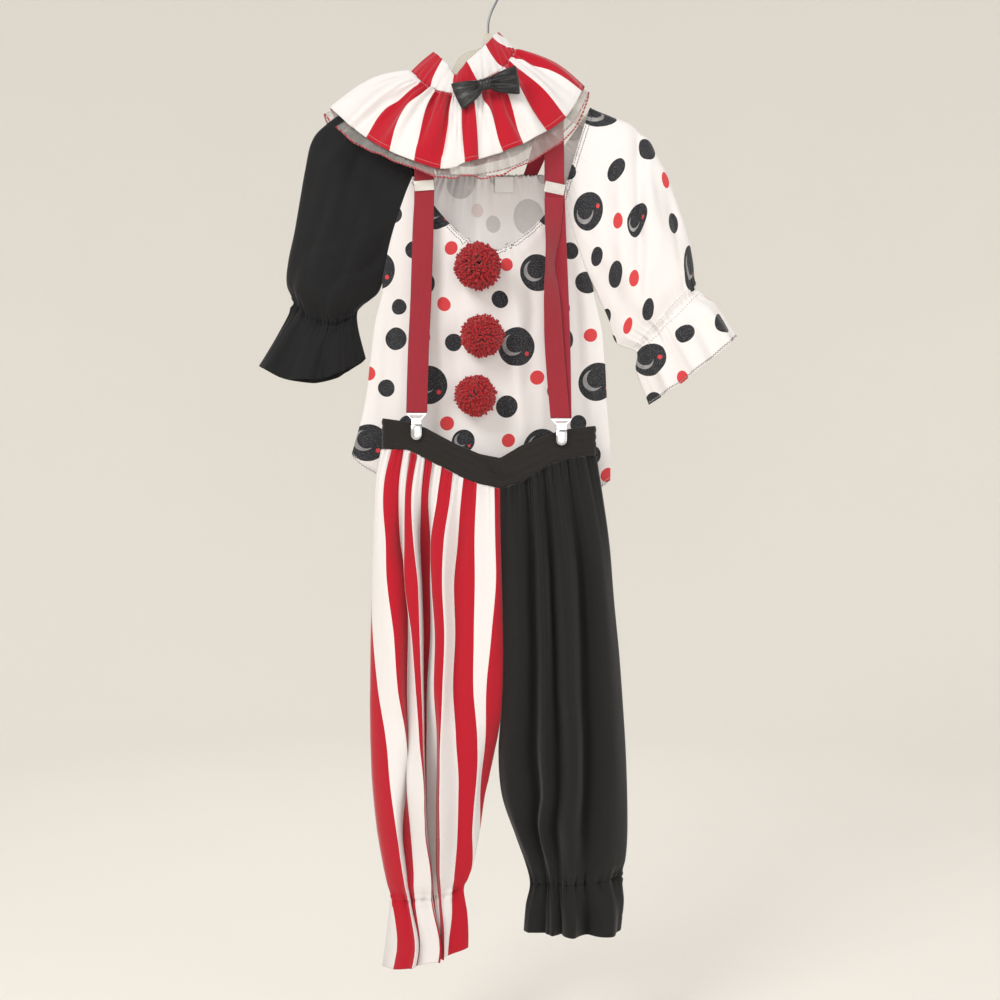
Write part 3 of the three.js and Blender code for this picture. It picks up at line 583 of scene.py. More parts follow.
REPEAT = 260.0
DOTS = (
    Dot(44, 46, 28.5, moon=True), Dot(170, 104, 28.5, moon=True), Dot(84, 196, 28, moon=True),
    Dot(116, 38, 17), Dot(226, 186, 17.5, moon=True), Dot(30, 134, 16.5), Dot(160, 214, 17),
    Dot(206, 40, 13), Dot(104, 112, 13), Dot(238, 110, 12.5), Dot(140, 164, 13), Dot(20, 236, 13),
    Dot(160, 34, 10, red=True), Dot(76, 92, 10.5, red=True), Dot(200, 160, 10.5, red=True),
    Dot(34, 184, 10, red=True), Dot(190, 244, 10.5, red=True), Dot(118, 250, 12),
)


@dataclass(frozen=True)
class DottedKnit(Knit):
    """White knit printed with a plain repeat of polka dots, some with a small pale moon and a red spot."""

    dark: Colour = rgb(0x1D1E22)
    red: Colour = rgb(0xCF4145)
    pale: Colour = rgb(0xA9A7A8)
    cloud: float = 2.0

    def colour_on(self, shader: Shader, flat: bpy.types.NodeSocket) -> object:
        """Returns the dotted colour."""
        speckle = shader.noise(flat, 900.0, 0.0) > 0.68
        cloudy = shader.noise(flat, 60.0, 3.0)
        dark = shader.mix(cloudy, self.dark, tuple(self.cloud * c for c in self.dark))
        dark = shader.mix(speckle * 0.35, dark, self.pale)
        masks = {"dark": None, "red": None, "moon": None}
        half = REPEAT * MM / 2

        def vector(operation: str, *inputs: object) -> bpy.types.Node:
            """Adds a Vector Math node."""
            return shader.node("ShaderNodeVectorMath", {"operation": operation}, dict(enumerate(inputs)))

        def circle(x: float, y: float, radius: float) -> Value:
            """Returns 1 inside a circle of the repeat."""
            shifted = vector("SUBTRACT", flat, (x * MM - half, y * MM - half, 0.0))
            wrapped = vector("WRAP", shifted.outputs[0], (2 * half, 2 * half, 1.0), (0.0, 0.0, 0.0))
            reach = vector("DISTANCE", wrapped.outputs[0], (half, half, 0.0))
            return Value(shader, reach.outputs["Value"]) < radius * MM

        def join(name: str, mask: Value) -> None:
            """Adds a mask to the ones of its kind."""
            masks[name] = mask if masks[name] is None else masks[name].most(mask)

        for dot in DOTS:
            join("red" if dot.red else "dark", circle(dot.x, dot.y, dot.radius))
            if dot.moon:
                disc = circle(dot.x - 0.22 * dot.radius, dot.y - 0.1 * dot.radius, 0.56 * dot.radius)
                bite = circle(dot.x - 0.06 * dot.radius, dot.y - 0.2 * dot.radius, 0.52 * dot.radius)
                join("moon", disc * (1 - bite))
                join("red", circle(dot.x + 0.56 * dot.radius, dot.y + 0.36 * dot.radius, 0.12 * dot.radius))
        colour = shader.mix(masks["dark"], self.colour, dark)
        colour = shader.mix(masks["moon"] * (cloudy * 0.9 + 0.25), colour, self.pale)
        return shader.mix(masks["red"], colour, self.red)

    def shade_on(self, shader: Shader, flat: bpy.types.NodeSocket) -> object:
        """Returns the print's colour again, so that the dots aren't greyed."""
        return self.colour_on(shader, flat)


@dataclass(frozen=True)
class Webbing:
    """Woven elastic with fine ribs along it and a soft edge."""

    name: str
    colour: Colour
    rib: float = 1.4
    roughness: float = 0.75

    def material(self) -> bpy.types.Material:
        """Returns the finished elastic."""
        shader = Shader(self.name)
        flat = shader.cloth_map()
        across, along, _ = shader.split(flat)
        ribs = (across * (2 * math.pi / (self.rib * MM))).wave()
        picks = (along * (2 * math.pi / (1.1 * MM))).wave()
        fuzz = shader.noise(shader.place(), 700.0, 2.0)
        streaks = shader.noise(shader.stretched(flat, (1.0, 0.06, 1.0)), 520.0, 2.0)
        worn = shader.noise(shader.place(), 16.0, 2.0)
        height = ribs * 0.5 + picks * 0.25 + fuzz * 0.6 + streaks
        dark = tuple(0.6 * c for c in self.colour)
        colour = shader.mix(worn * 0.35 + ribs * 0.1 + streaks * 0.5 - 0.1, self.colour, dark)
        return shader.finish(base_color=colour, roughness=fuzz * 0.12 + (self.roughness - 0.06),
                             normal=shader.bump(height, 0.0004, 0.7), sheen_weight=0.2,
                             specular_ior_level=0.3)


@dataclass(frozen=True)
class Satin:
    """Smooth black satin with a soft gloss along its folds, partly painted: its colour is lighter on the
    ripples' crests.
    """

    name: str
    colour: Colour

    def material(self) -> bpy.types.Material:
        """Returns the finished satin."""
        shader = Shader(self.name)
        where = shader.place()
        ripple_and_sheen = shader.noise(shader.stretched(where, (1.0, 1.0, 2.5)), 60.0, 2.0)
        threads = (shader.split(shader.cloth_map())[0] * 9000.0).wave()
        # Painted sheen: the colour lightens to 1.6 times where the ripple noise is high, on the ripples'
        # crests.
        colour = shader.mix(ripple_and_sheen, self.colour, tuple(1.6 * c for c in self.colour))
        return shader.finish(base_color=colour, roughness=ripple_and_sheen * 0.12 + 0.26,
                             normal=shader.bump(ripple_and_sheen + threads * 0.03, 0.0012, 0.6), sheen_weight=0.15)


@dataclass(frozen=True)
class ClearFilm:
    """Thin see-through organza with crumpled folds and a red overlocked edge."""

    name: str
    colour: Colour
    edge: Colour
    edge_width: float = 2.6

    def material(self) -> bpy.types.Material:
        """Returns the finished film. The cloth map's second number counts up from the hem."""
        shader = Shader(self.name)
        flat = shader.cloth_map()
        across, up, _ = shader.split(flat)
        crumple = shader.noise(shader.stretched(flat, (1.0, 0.3, 1.0)), 95.0, 2.0)
        hem = up < self.edge_width * MM
        dash = ((across + up * 0.7) % 0.0042 > 0.0014) * hem
        alpha = (crumple * 0.28 + 0.08).most(dash * 0.9)
        colour = shader.mix(dash, self.colour, self.edge)
        return shader.finish(base_color=colour, roughness=crumple * 0.15 + 0.14, alpha=alpha,
                             normal=shader.bump(crumple, 0.005, 0.9), specular_ior_level=0.75)


@dataclass(frozen=True)
class Yarn:
    """Fluffy wool yarn, with painted shade between its strands: darker towards the ball's core."""

    name: str
    colour: Colour
    # Colour of the painted shade inside the ball, between the strands.
    shaded: Colour

    def material(self) -> bpy.types.Material:
        """Returns the finished yarn. The cloth map's second number runs along each strand."""
        shader = Shader(self.name)
        _, along, _ = shader.split(shader.cloth_map())
        fibres = shader.noise(shader.place(), 1500.0, 2.0)
        # Painted shade: the colour runs from the shade colour on the inner rings to the yarn's own colour at
        # the tips, with a little fibre noise.
        unshaded_share = along * 0.85 + fibres * 0.3
        colour = shader.mix(unshaded_share, self.shaded, self.colour)
        return shader.finish(base_color=colour, roughness=fibres * 0.1 + 0.88,
                             normal=shader.bump(fibres, 0.0008, 0.8), sheen_weight=0.35,
                             specular_ior_level=0.15)


@dataclass(frozen=True)
class Hard:
    """Plastic or metal with fine scratches and a little unevenness."""

    name: str
    colour: Colour
    roughness: float
    metal: float = 0.0
    alpha: float = 1.0
    scratch: float = 0.00006

    def material(self) -> bpy.types.Material:
        """Returns the finished plastic or metal."""
        shader = Shader(self.name)
        where = shader.place()
        handled = shader.noise(where, 45.0, 3.0)
        scratches = shader.noise(shader.stretched(where, (1.0, 1.0, 0.08)), 1800.0, 2.0)
        colour = shader.mix(handled * 0.5, self.colour, tuple(0.8 * c for c in self.colour))
        rough = handled * 0.14 + scratches * 0.05 + (self.roughness - 0.07)
        return shader.finish(base_color=colour, roughness=rough,
                             normal=shader.bump(scratches, self.scratch, 0.6), metallic=self.metal,
                             alpha=self.alpha)


WHITE = rgb(0xE6E2E1)
WHITE_DULL = rgb(0xD7D2D1)
RED = rgb(0xB50D24)
FINISHES: dict[str, bpy.types.Material] = {}


def dress(obj: bpy.types.Object, finish: object, inside: object = None) -> None:
    """Gives a piece its finish, made once and shared.

    Args:
        obj: the piece.
        finish: a finish that makes its material.
        inside: the finish of a cloth's inner face, if it is another one.
    """
    obj.data.materials.clear()
    for each in (finish, inside):
        if each is not None:
            if each.name not in FINISHES:
                FINISHES[each.name] = each.material()
            obj.data.materials.append(FINISHES[each.name])
    if inside is not None:
        obj.modifiers["thickness"].material_offset = 1


SLEEVE_KNIT = Knit("black knit", rgb(0x101012), rgb(0x1A1A1C), roughness=0.8, sheen=0.1)
# Both trouser cloths paint shade into their fold valleys and gather troughs: the black one strongly, the
# striped one lightly.
LEG_KNIT = Knit("worn black knit with painted fold shade", rgb(0x151515), rgb(0x20201F), roughness=0.8, sheen=0.12, painted_fold_shade=0.9)
LEG_STRIPES = StripedKnit("striped knit", WHITE, WHITE_DULL, stripe=RED, width=34.0, start=-34.0, painted_fold_shade=0.4)
COLLAR_STRIPES = StripedKnit("collar stripes", WHITE, WHITE_DULL, stripe=RED, width=36.0)
DOTTED = DottedKnit("dotted knit", WHITE, WHITE_DULL)
# The blouse's inner face: the dots show through faintly, as on the real cloth, and its white is painted
# lighter than the outer face's to make up for the shade inside the blouse.
DOTTED_INSIDE_PAINTED_LIGHTER = DottedKnit("dotted knit inside painted lighter", rgb(0xF6F3F2), rgb(0xEDEAE9), dark=rgb(0xCDCAC9),
                           red=rgb(0xE6D8D6), pale=rgb(0xD6D3D2), cloud=1.08)
RED_WEBBING = Webbing("red elastic", rgb(0xA02433))
BLACK_WEBBING = Webbing("waist elastic", rgb(0x1C1714), rib=5.0)
BLACK_SATIN = Satin("black satin", rgb(0x08080A))
ORGANZA = ClearFilm("clear organza", rgb(0xC9C4C0), rgb(0xA9182B))
# The yarn's own red, then the darker red of the painted shade inside the pom-poms.
RED_YARN = Yarn("red yarn", rgb(0xB00F1B), rgb(0x5A070C))
BLACK_THREAD = Knit("black thread", rgb(0x151417), rgb(0x2A292B), crease=0.0003)
WHITE_THREAD = Knit("white thread", rgb(0xE9E4E0), rgb(0xCFC9C5), crease=0.0003)
RED_THREAD = Knit("red thread", rgb(0x9A1724), rgb(0x7A1220), crease=0.0003)
# The label's white is painted a little lighter than the tape's own, to make up for the shade inside the neck.
LABEL_TAPE = Knit("label tape", rgb(0xFCFBFA), rgb(0xF2F0EE), crease=0.0005)
CLEAR_PLASTIC = Hard("clear plastic", rgb(0xDAD6C6), 0.16, alpha=0.42)
SLIDER_PLASTIC = Hard("milky plastic", rgb(0xDDD9D2), 0.2, alpha=0.82)
WIRE = Hard("hook wire", rgb(0x6E7073), 0.3, metal=1.0)
CHROME = Hard("clip steel", rgb(0xC4C6C9), 0.2, metal=1.0)


# ---- cloth ---------------------------------------------------------------------------------------------
@dataclass(frozen=True)
class Crease:
    """A soft trough or ridge along a line seen from the front, in millimetres.

    A positive depth stands out towards the side that the crease is on, and a negative one sinks in.
    """

    line: tuple[tuple[float, float], ...]
    depth: float
    width: float

    def amount(self, points: Array) -> Array:
        """Returns how far each point of a grid moves."""
        x, z = points[..., 0], points[..., 2]
        best = np.full(x.shape, 1e9)
        where = np.zeros(x.shape)
        lengths = [math.dist(a, b) for a, b in zip(self.line, self.line[1:])]
        total, done = sum(lengths), 0.0
        for (ax, az), (bx, bz), length in zip(self.line, self.line[1:], lengths):
            t = np.clip(((x - ax) * (bx - ax) + (z - az) * (bz - az)) / length ** 2, 0, 1)
            away = np.hypot(x - ax - t * (bx - ax), z - az - t * (bz - az))
            nearer = away < best
            best = np.where(nearer, away, best)
            where = np.where(nearer, (done + t * length) / total, where)
            done += length
        taper = np.sin(np.pi * np.clip(0.08 + 0.84 * where, 0, 1)) ** 0.6
        return self.depth * taper * np.exp(-(best / self.width) ** 2)


def grid_normals(points: Array, closed: bool) -> Array:
    """Returns the unit normals of a grid of points, u across and v down."""
    across = np.gradient(points, axis=0)
    if closed:
        across[0] = across[-1] = (points[1] - points[-2]) / 2
    down = np.gradient(points, axis=1)
    normal = np.cross(across, down)
    return normal / np.maximum(np.linalg.norm(normal, axis=-1, keepdims=True), 1e-9)


class Cloth:
    """A sheet on a grid of columns and rows, in millimetres, with its place on the flat cloth."""

    def __init__(self, columns: int, rows: int, place: Callable[[Array, Array], Array],
                 closed: bool = False, outward: int = 1) -> None:
        """Lays the grid out.

        Args:
            columns: number of cells across.
            rows: number of cells down.
            place: gives the points for u and v.
            closed: whether the sheet is a ring, so the last line is the first one again.
            outward: 1 if the grid's normals already point out of the costume, and -1 if they point in.
        """
        across, down = np.linspace(0, 1, columns + 1), np.linspace(0, 1, rows + 1)
        self.u, self.v = np.meshgrid(across, down, indexing="ij")
        self.closed = closed
        self.outward = outward
        self.points = place(self.u, self.v)
        self.flat = np.stack([self.u, self.v], -1)
        # Painted shade for the folds, one share for each point, which the legs fill in.
        self.painted_fold_shade = np.zeros_like(self.u)

    def normals(self) -> Array:
        """Returns the normals that point out of the costume."""
        return grid_normals(self.points, self.closed) * self.outward

    def facing(self, away: Array) -> "Cloth":
        """Turns the sheet's normals to the side that away points to, and returns the sheet."""
        if float(np.mean(np.sum(self.normals() * away, -1))) < 0:
            self.outward *= -1
        return self

    def push(self, amount: Array, normals: Optional[Array] = None) -> "Cloth":
        """Moves the sheet outwards.

        Args:
            amount: how far each point moves.
            normals: the ways they move, if not along the sheet's own normals.

        Returns:
            The sheet.
        """
        normals = self.normals() if normals is None else normals
        self.points = self.points + normals * amount[..., None]
        return self

    def mesh(self, name: str, thickness: float) -> bpy.types.Object:
        """Makes the sheet's mesh and thickens it.

        Args:
            name: the piece's name.
            thickness: the cloth's thickness in millimetres.

        Returns:
            The new object.
        """
        lines, rows = self.points.shape[0], self.points.shape[1]
        real = lines - 1 if self.closed else lines
        i, j = np.meshgrid(np.arange(lines - 1), np.arange(rows - 1), indexing="ij")
        corners = [(i, j), (i + 1, j), (i + 1, j + 1), (i, j + 1)]
        if self.outward < 0:
            corners.reverse()
        faces = np.stack([(a % real) * rows + b for a, b in corners], -1).reshape(-1, 4)
        uv = np.stack([self.flat[a, b] for a, b in corners], -2).reshape(-1, 2) * MM
        mesh = bpy.data.meshes.new(name)
        mesh.from_pydata((self.points[:real].reshape(-1, 3) * MM).tolist(), [], faces.tolist())
        layer = mesh.uv_layers.new(name="cloth")
        layer.data.foreach_set("uv", uv.ravel())
        # The painted fold shade goes onto the mesh as a per-point attribute for the cloth's colour.
        if self.painted_fold_shade.any():
            shaded = mesh.attributes.new("painted_fold_shade", "FLOAT", "POINT")
            shaded.data.foreach_set("value", self.painted_fold_shade[:real].ravel())
        mesh.shade_smooth()
        obj = bpy.data.objects.new(name, mesh)
        bpy.context.scene.collection.objects.link(obj)
        wall = obj.modifiers.new("thickness", "SOLIDIFY")
        wall.thickness = thickness * MM
        wall.offset = 0
        return obj


def enrol(obj: bpy.types.Object, slot: Slot, nodes: Sequence[str] = ()) -> None:
    """Enters a finished piece in the frame.

    Args:
        obj: the piece.
        slot: the record's finish that it stands for, which is only logged.
        nodes: the CAD nodes that it stands for.
    """
    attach(obj, ROOT)
    if nodes:
        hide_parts(*nodes)
    log.info("%s: %d points, %s", obj.name, len(obj.data.vertices), slot.value)


def mesh_object(name: str, points: Array, faces: Array, along: Optional[Array] = None) -> bpy.types.Object:
    """Makes an object from points in millimetres.

    Args:
        name: the piece's name.
        points: its points.
        faces: its faces, each a row of point numbers.
        along: a number for each point, kept as the second number of its cloth map.

    Returns:
        The new object.
    """
    mesh = bpy.data.meshes.new(name)
    mesh.from_pydata((points * MM).tolist(), [], faces.tolist())
    layer = mesh.uv_layers.new(name="cloth")
    if along is not None:
        uv = np.stack([np.zeros(faces.size), along[faces.ravel()]], -1)
        layer.data.foreach_set("uv", uv.ravel())
    mesh.shade_smooth()
    obj = bpy.data.objects.new(name, mesh)
    bpy.context.scene.collection.objects.link(obj)
    return obj


@dataclass
class Stitching:
    """A run of sewn stitches along a line: small threads that lie on the cloth."""

    name: str
    finish: object
    slot: Slot
    pitch: float = 4.0
    length: float = 3.0
    width: float = 0.9
    slant: float = 0.0
    runs: list = field(default_factory=list)

    def run(self, line: Array, outward: Array, side: float = 0.0) -> None:
        """Adds stitches along a line.

        Args:
            line: the points that the stitches follow.
            outward: the cloth's normals along it.
            side: how far beside the line they lie, in millimetres.
        """
        reach = run_length(line)
        places = np.arange(self.pitch, reach[-1] - self.pitch, self.pitch)

        def read(values: Array, at: Array) -> Array:
            """Reads points or normals at places along the line."""
            return np.stack([np.interp(at, reach, values[:, k]) for k in range(3)], -1)

        point, normal = read(line, places), read(outward, places)
        normal /= np.linalg.norm(normal, axis=1, keepdims=True)
        ahead = read(line, places + 0.5) - point
        ahead /= np.maximum(np.linalg.norm(ahead, axis=1, keepdims=True), 1e-9)
        beside = np.cross(normal, ahead)
        turn = math.radians(self.slant)
        flip = np.where(np.arange(len(places)) % 2 == 0, 1.0, -1.0)[:, None] if self.slant else 1.0
        heading = ahead * math.cos(turn) + beside * math.sin(turn) * flip
        self.runs.append((point + beside * side + normal * 0.75, heading, np.cross(normal, heading), normal))

    def build(self) -> bpy.types.Object:
        """Makes one joined mesh of every stitch, each a thread with eight faces, and returns it."""
        points, faces, start = [], [], 0
        head = [[0, 1, 2], [0, 2, 3], [0, 3, 4], [0, 4, 1]]
        tail = [[5, b, a] for _, a, b in head]
        shape = np.array(head + tail)
        for place, ahead, beside, normal in self.runs:
            corners = [place - ahead * self.length / 2,
                       place + normal * self.width * 0.5, place + beside * self.width * 0.5,
                       place - normal * self.width * 0.5, place - beside * self.width * 0.5,
                       place + ahead * self.length / 2]
            points.append(np.stack(corners, 1).reshape(-1, 3))
            for _ in range(len(place)):
                faces.append(shape + start)
                start += 6
        obj = mesh_object(self.name, np.concatenate(points), np.concatenate(faces))
        dress(obj, self.finish)
        enrol(obj, self.slot)
        return obj


def declare(width: float, length: float, held: Hold, share: float = 1.0) -> None:
    """Takes a sheet's flat cut, in millimetres, and keeps nothing of it.

    Args:
        width: the cut's width.
        length: the cut's length.
        held: how it is held; not used.
        share: the cut's area as a share of width times length.
    """
    area = None if share >= 1 else share * width * length * MM * MM
    width * MM
    length * MM


def rows_at(rows: dict[str, Array], t: Array, closed: bool = False) -> dict[str, Array]:
    """Returns every column of a table, read smoothly at the places t."""
    return {name: catmull(values, t, closed) for name, values in rows.items()}


def wrapped(row: dict[str, Array], around: Array) -> Array:
    """Places points of a wrapped piece, such as a sleeve or a leg.

    Args:
        row: the section's columns at each point.
        around: 0 at the front's inner edge, 1 at the outer fold and 2 at the back's inner edge.

    Returns:
        The points.
    """
    front = around <= 1
    along = np.where(front, around, 2 - around)
    depth = np.where(front, row["front"], row["back"])
    gap = np.where(front, row["frontGap"], row["backGap"])
    inner = along < 0.5
    turn = np.where(inner, along, along - 0.5) * np.pi
    part = np.where(inner, along, 0.5 + 0.5 * np.sin(turn))
    reach = np.where(inner, gap + (depth - gap) * np.sin(turn), depth * np.cos(turn))
    rise = np.where(front, 0, row["rise"] * (1 - part))
    shift = np.where(front, 0, row["shift"] * (1 - part))
    return np.stack([
        row["inX"] + (row["outX"] - row["inX"]) * part + shift,
        row["middle"] + np.where(front, -reach, reach),
        row["inZ"] + (row["outZ"] - row["inZ"]) * part - row["sag"] * 4 * part * (1 - part) + rise,
    ], -1)


def around_at(share: Array) -> Array:
    """Returns how far round a leg a line lies that hangs at a share of its width. Past 1 is behind."""
    def along(f: Array) -> Array:
        """Turns a share of the width into a share of the half turn."""
        f = np.clip(f, 0, 1)
        return np.where(f < 0.5, f, 0.5 + np.arcsin(np.clip((f - 0.5) / 0.5, -1, 1)) / np.pi)
    return np.where(share <= 1, along(share), 2 - along(2 - share))


def below_edge(cloth: Cloth, drop: float) -> tuple[Array, Array]:
    """Follows a sheet's top edge at an even distance.

    Args:
        cloth: the sheet.
        drop: the distance from its top edge, in millimetres.

    Returns:
        The line's points and the sheet's normals along it.
    """
    edge = np.gradient(cloth.points[:, 0], axis=0)
    down = cloth.points[:, 3] - cloth.points[:, 0]
    sine = np.linalg.norm(np.cross(edge, down), axis=1)
    sine = sine / (np.linalg.norm(edge, axis=1) * np.linalg.norm(down, axis=1))
    steps = np.linalg.norm(np.diff(cloth.points, axis=1), axis=-1)
    reach = np.concatenate([np.zeros((len(steps), 1)), np.cumsum(steps, 1)], 1)
    place = drop / np.maximum(sine, 0.3)
    columns = range(len(steps))

    def read(values: Array) -> Array:
        """Reads one value of each column at its place."""
        return np.array([[np.interp(place[i], reach[i], values[i, :, k]) for k in range(3)] for i in columns])
    return read(cloth.points), read(cloth.normals())


def uneven(seed: int, count: int, x: Array, roughness: float = 0.35) -> Array:
    """Returns uneven waves from -1 to 1, count of them over x from 0 to 1.

    Args:
        seed: fixes the unevenness.
        count: how many waves there are.
        x: where to read them.
        roughness: how much their spacing and height vary.
    """
    source = np.random.default_rng(seed)
    knots = np.linspace(0, 1, 2 * count + 1)
    knots[1:-1] += source.uniform(-roughness, roughness, 2 * count - 1) / (2 * count)
    heights = np.where(np.arange(2 * count + 1) % 2 == 0, 1.0, -1.0)
    heights = heights * source.uniform(1 - 1.6 * roughness, 1, 2 * count + 1)
    heights[-1] = heights[0]
    place = np.interp(np.mod(x, 1), knots, np.arange(2 * count + 1))
    return catmull(heights, place)


@dataclass
class Folds:
    """The folds of a trouser front, from a table of lines."""

    heights: Array
    lines: Array
    depths: Array

    def read(self, values: Array, z: Array, line: Array) -> Array:
        """Returns a table's value at heights z and lines of the cloth."""
        order = np.interp(-z, -self.heights, np.arange(len(self.heights)))
        rows = catmull(values, order)
        count = values.shape[1]
        base = np.clip(np.floor(line).astype(int), 0, count - 2)
        part = line - base
        a, b, c, d = (np.take_along_axis(rows, np.clip(base + k, 0, count - 1)[..., None], -1)[..., 0]
                      for k in (-1, 0, 1, 2))
        step = c - b

        def slope(other: Array, end: Array) -> Array:
            """Returns a slope that never makes the curve turn back between two lines."""
            total = other + step
            safe = np.where(np.abs(total) < 1e-9, 1.0, total)
            return np.where(end, step, np.where(other * step > 0, 2 * other * step / safe, 0.0))

        first, last = slope(b - a, base == 0), slope(d - c, base == count - 2)
        return (b + first * part + (3 * step - 2 * first - last) * part ** 2
                + (first + last - 2 * step) * part ** 3)

    def edge(self, share: float, z: Array) -> Array:
        """Returns which line of the cloth hangs at a share of the width, at heights z."""
        count = np.arange(self.lines.shape[1], dtype=float)
        found = np.array([np.interp(share, row, count) for row in self.lines])
        return np.interp(-z, -self.heights, found)


# ---- trousers ------------------------------------------------------------------------------------------
@dataclass
class Leg:
    """One trouser leg: a gathered tube with an elastic ankle and a flounce."""

    name: str
    node: str
    rows: dict[str, Array]
    folds: Folds
    side: int
    finish: object
    slot: Slot
    seed: int
    flat_width: float = 700.0
    flat_length: float = 730.0
    step: float = 34.0
    columns: int = 230
    down: int = 126
    back_lines: float = 12.0
    ankle_row: float = 10.0
    hem_seam: float = 0.955
    fine_gathers: int = 46
    coarse_gathers: int = 22
    casing: float = 0.012

    def place(self, u: Array, v: Array) -> Array:
        """Hangs the leg on its folds, and keeps where each line of the cloth lies and how deep."""
        last = len(self.rows["inX"]) - 1
        row = rows_at(self.rows, v * last)
        row["rise"] = row["shift"] = np.zeros_like(u)
        front = u <= 0.5
        q = np.where(front, 2 * u, 2 * u - 1)
        share = q
        for _ in range(3):
            z = row["inZ"] + (row["outZ"] - row["inZ"]) * np.clip(share, 0, 1)
            start, end = self.folds.edge(0.0, z), self.folds.edge(1.0, z)
            line = start + (end - start) * q
            share = np.clip(self.folds.read(self.folds.lines, z, line), 0, 1)
        wobble = 0.022 * uneven(self.seed, 4, q * 0.9) * np.sin(np.pi * q)
        around = np.where(front, around_at(share), 2 - around_at(np.clip(1 - q + wobble, 0, 1)))
        self.depth = self.folds.read(self.folds.depths, z, line)
        self.line = np.where(front, line, end + q * (self.back_lines - start))
        self.across = wrapped(row, np.minimum(around + 0.02, 2)) - wrapped(row, np.maximum(around - 0.02, 0))
        points = wrapped(row, around)
        first = rows_at(self.rows, np.zeros_like(v))
        first["rise"] = first["shift"] = np.zeros_like(u)
        top = wrapped(first, around)
        under = np.interp(top[..., 0], BAND["x"], BAND["bottom"]) - BAND_CLEARANCE - top[..., 2]
        points[..., 2] += under * np.maximum(0, 1 - v * last / 1.6) ** 2
        return points

    def depths(self, u: Array, v: Array) -> tuple[Array, Array]:
        """Returns how far the folds and gathers stand out, and how much painted shade each place gets in the
        fold valleys and gather troughs.
        """
        q = np.where(u <= 0.5, 2 * u, 2 * u - 1)
        ankle = self.ankle_row / (len(self.rows["inX"]) - 1)
        swell = smoothstep(0.0, 0.2, v) * (1 - 0.65 * ridge(v, ankle, 0.06))
        drift = 0.05 * np.sin(v * 5 + self.seed) + 0.03 * np.sin(v * 11 + 2 * self.seed)
        behind = 11 * uneven(self.seed + 1, 6, q * 0.92 + drift) * np.sin(np.pi * np.clip(q, 0, 1)) ** 0.5
        edge = inset(u, 0.03)
        sewn = smoothstep(0.0, 0.006, v)
        near_band, low_band = fading(v, 0.06) * sewn, fading(v, 0.1) * sewn
        near_ankle = fading(v - ankle, 0.035)
        fine = uneven(self.seed + 2, self.fine_gathers, u)
        coarse = uneven(self.seed + 3, self.coarse_gathers, u)
        gathers = fine * (3.0 * near_band + 2.4 * near_ankle) + coarse * (2.0 * low_band + 4.2 * near_ankle)
        flounce = smoothstep(ankle, 1, v) * (7.0 * uneven(self.seed + 4, 7, u, 0.25) + 1.8 * coarse)
        seams = -1.0 * ridge(v, self.hem_seam, 0.003) - 2.2 * ridge(v, ankle, 0.007)
        for side in (-1, 1):
            seams = seams + 1.4 * ridge(v, ankle + side * self.casing, 0.006)
        depth = np.where(u <= 0.5, self.depth, behind * swell) + edge * (gathers + flounce + seams)
        # Painted shade: fold valleys from 1 to 12 mm deep, plus the troughs of the gathers by the band and
        # the ankle.
        gathered = (smoothstep(0.1, 1.0, -fine) * near_band
                    + smoothstep(0.1, 1.0, -coarse) * (low_band + near_ankle))
        return depth, np.clip(smoothstep(1.0, 12.0, -depth) + 0.7 * gathered, 0, 1)

    def build(self) -> bpy.types.Object:
        """Makes the leg and returns it."""
        cloth = Cloth(self.columns, self.down, self.place, outward=-self.side)
        # The second result is the painted shade of the folds, kept on the cloth.
        depth, cloth.painted_fold_shade = self.depths(cloth.u, cloth.v)
        smooth = np.cross(self.across, np.gradient(cloth.points, axis=1)) * cloth.outward
        smooth /= np.maximum(np.linalg.norm(smooth, axis=-1, keepdims=True), 1e-9)
        cloth.push(depth * smoothstep(0.0, 0.01, cloth.v + 0.004), smooth)
        down = run_length(cloth.points[self.columns // 2])
        cloth.flat = np.stack([self.line * self.step, np.broadcast_to(down, cloth.u.shape)], -1)
        obj = cloth.mesh(self.name, CLOTH)
        dress(obj, self.finish)
        enrol(obj, self.slot, [self.node])
        declare(self.flat_width, self.flat_length, Hold.GATHERED, 0.85)
        return obj


BAND_CREASES = (
    Crease(((-8, -736), (8, -750), (24, -768)), -4.2, 5),
    Crease(((10, -736), (22, -748), (40, -752)), 3.4, 6),
    Crease(((-130, -690), (-112, -706)), -1.2, 6),
    Crease(((120, -700), (140, -712)), -1.2, 6),
)


@dataclass
class Waistband:
    """The trousers' wide black elastic: a flat ring with sewn channels and puckers."""

    columns: int = 260
    down: int = 20
    channels: int = 4
    overlap: float = 1.3

    def build(self) -> bpy.types.Object:
        """Makes the waistband and returns it."""
        left, right = BAND["x"][0], BAND["x"][-1]

        def place(u: Array, v: Array) -> Array:
            """Runs the ring through the band's edges."""
            angle = u * 2 * np.pi
            s, c = np.sin(angle), np.cos(angle)
            x = (left + right) / 2 - (right - left) / 2 * c
            top = np.interp(x, BAND["x"], BAND["top"])
            bottom = np.interp(x, BAND["x"], BAND["bottom"])
            depth = BAND_HALF_DEPTH * np.sign(s) * np.abs(s) ** 0.5
            return np.stack([x, BAND_MIDDLE - depth, top + (bottom - self.overlap - top) * v], -1)

        cloth = Cloth(self.columns, self.down, place, closed=True)
        u, v = cloth.u, cloth.v
        cloth.facing((cloth.points - [(left + right) / 2, BAND_MIDDLE, 0]) * [1, 1, 0])
        channel = np.abs(np.sin(np.pi * v * self.channels))
        cloth.push(channel + 0.5 * uneven(5, 110, u) * channel ** 2)
        for crease in BAND_CREASES:
            cloth.push(crease.amount(cloth.points))
        cloth.flat = np.stack([v * 43, u * 2 * (right - left)], -1)
        obj = cloth.mesh("waistband_cloth", ELASTIC)
        dress(obj, BLACK_WEBBING)
        enrol(obj, Slot.BLACK_ELASTIC, ["waistband"])
        declare(2.1 * (right - left), 45.0, Hold.STRETCHED)
        return obj


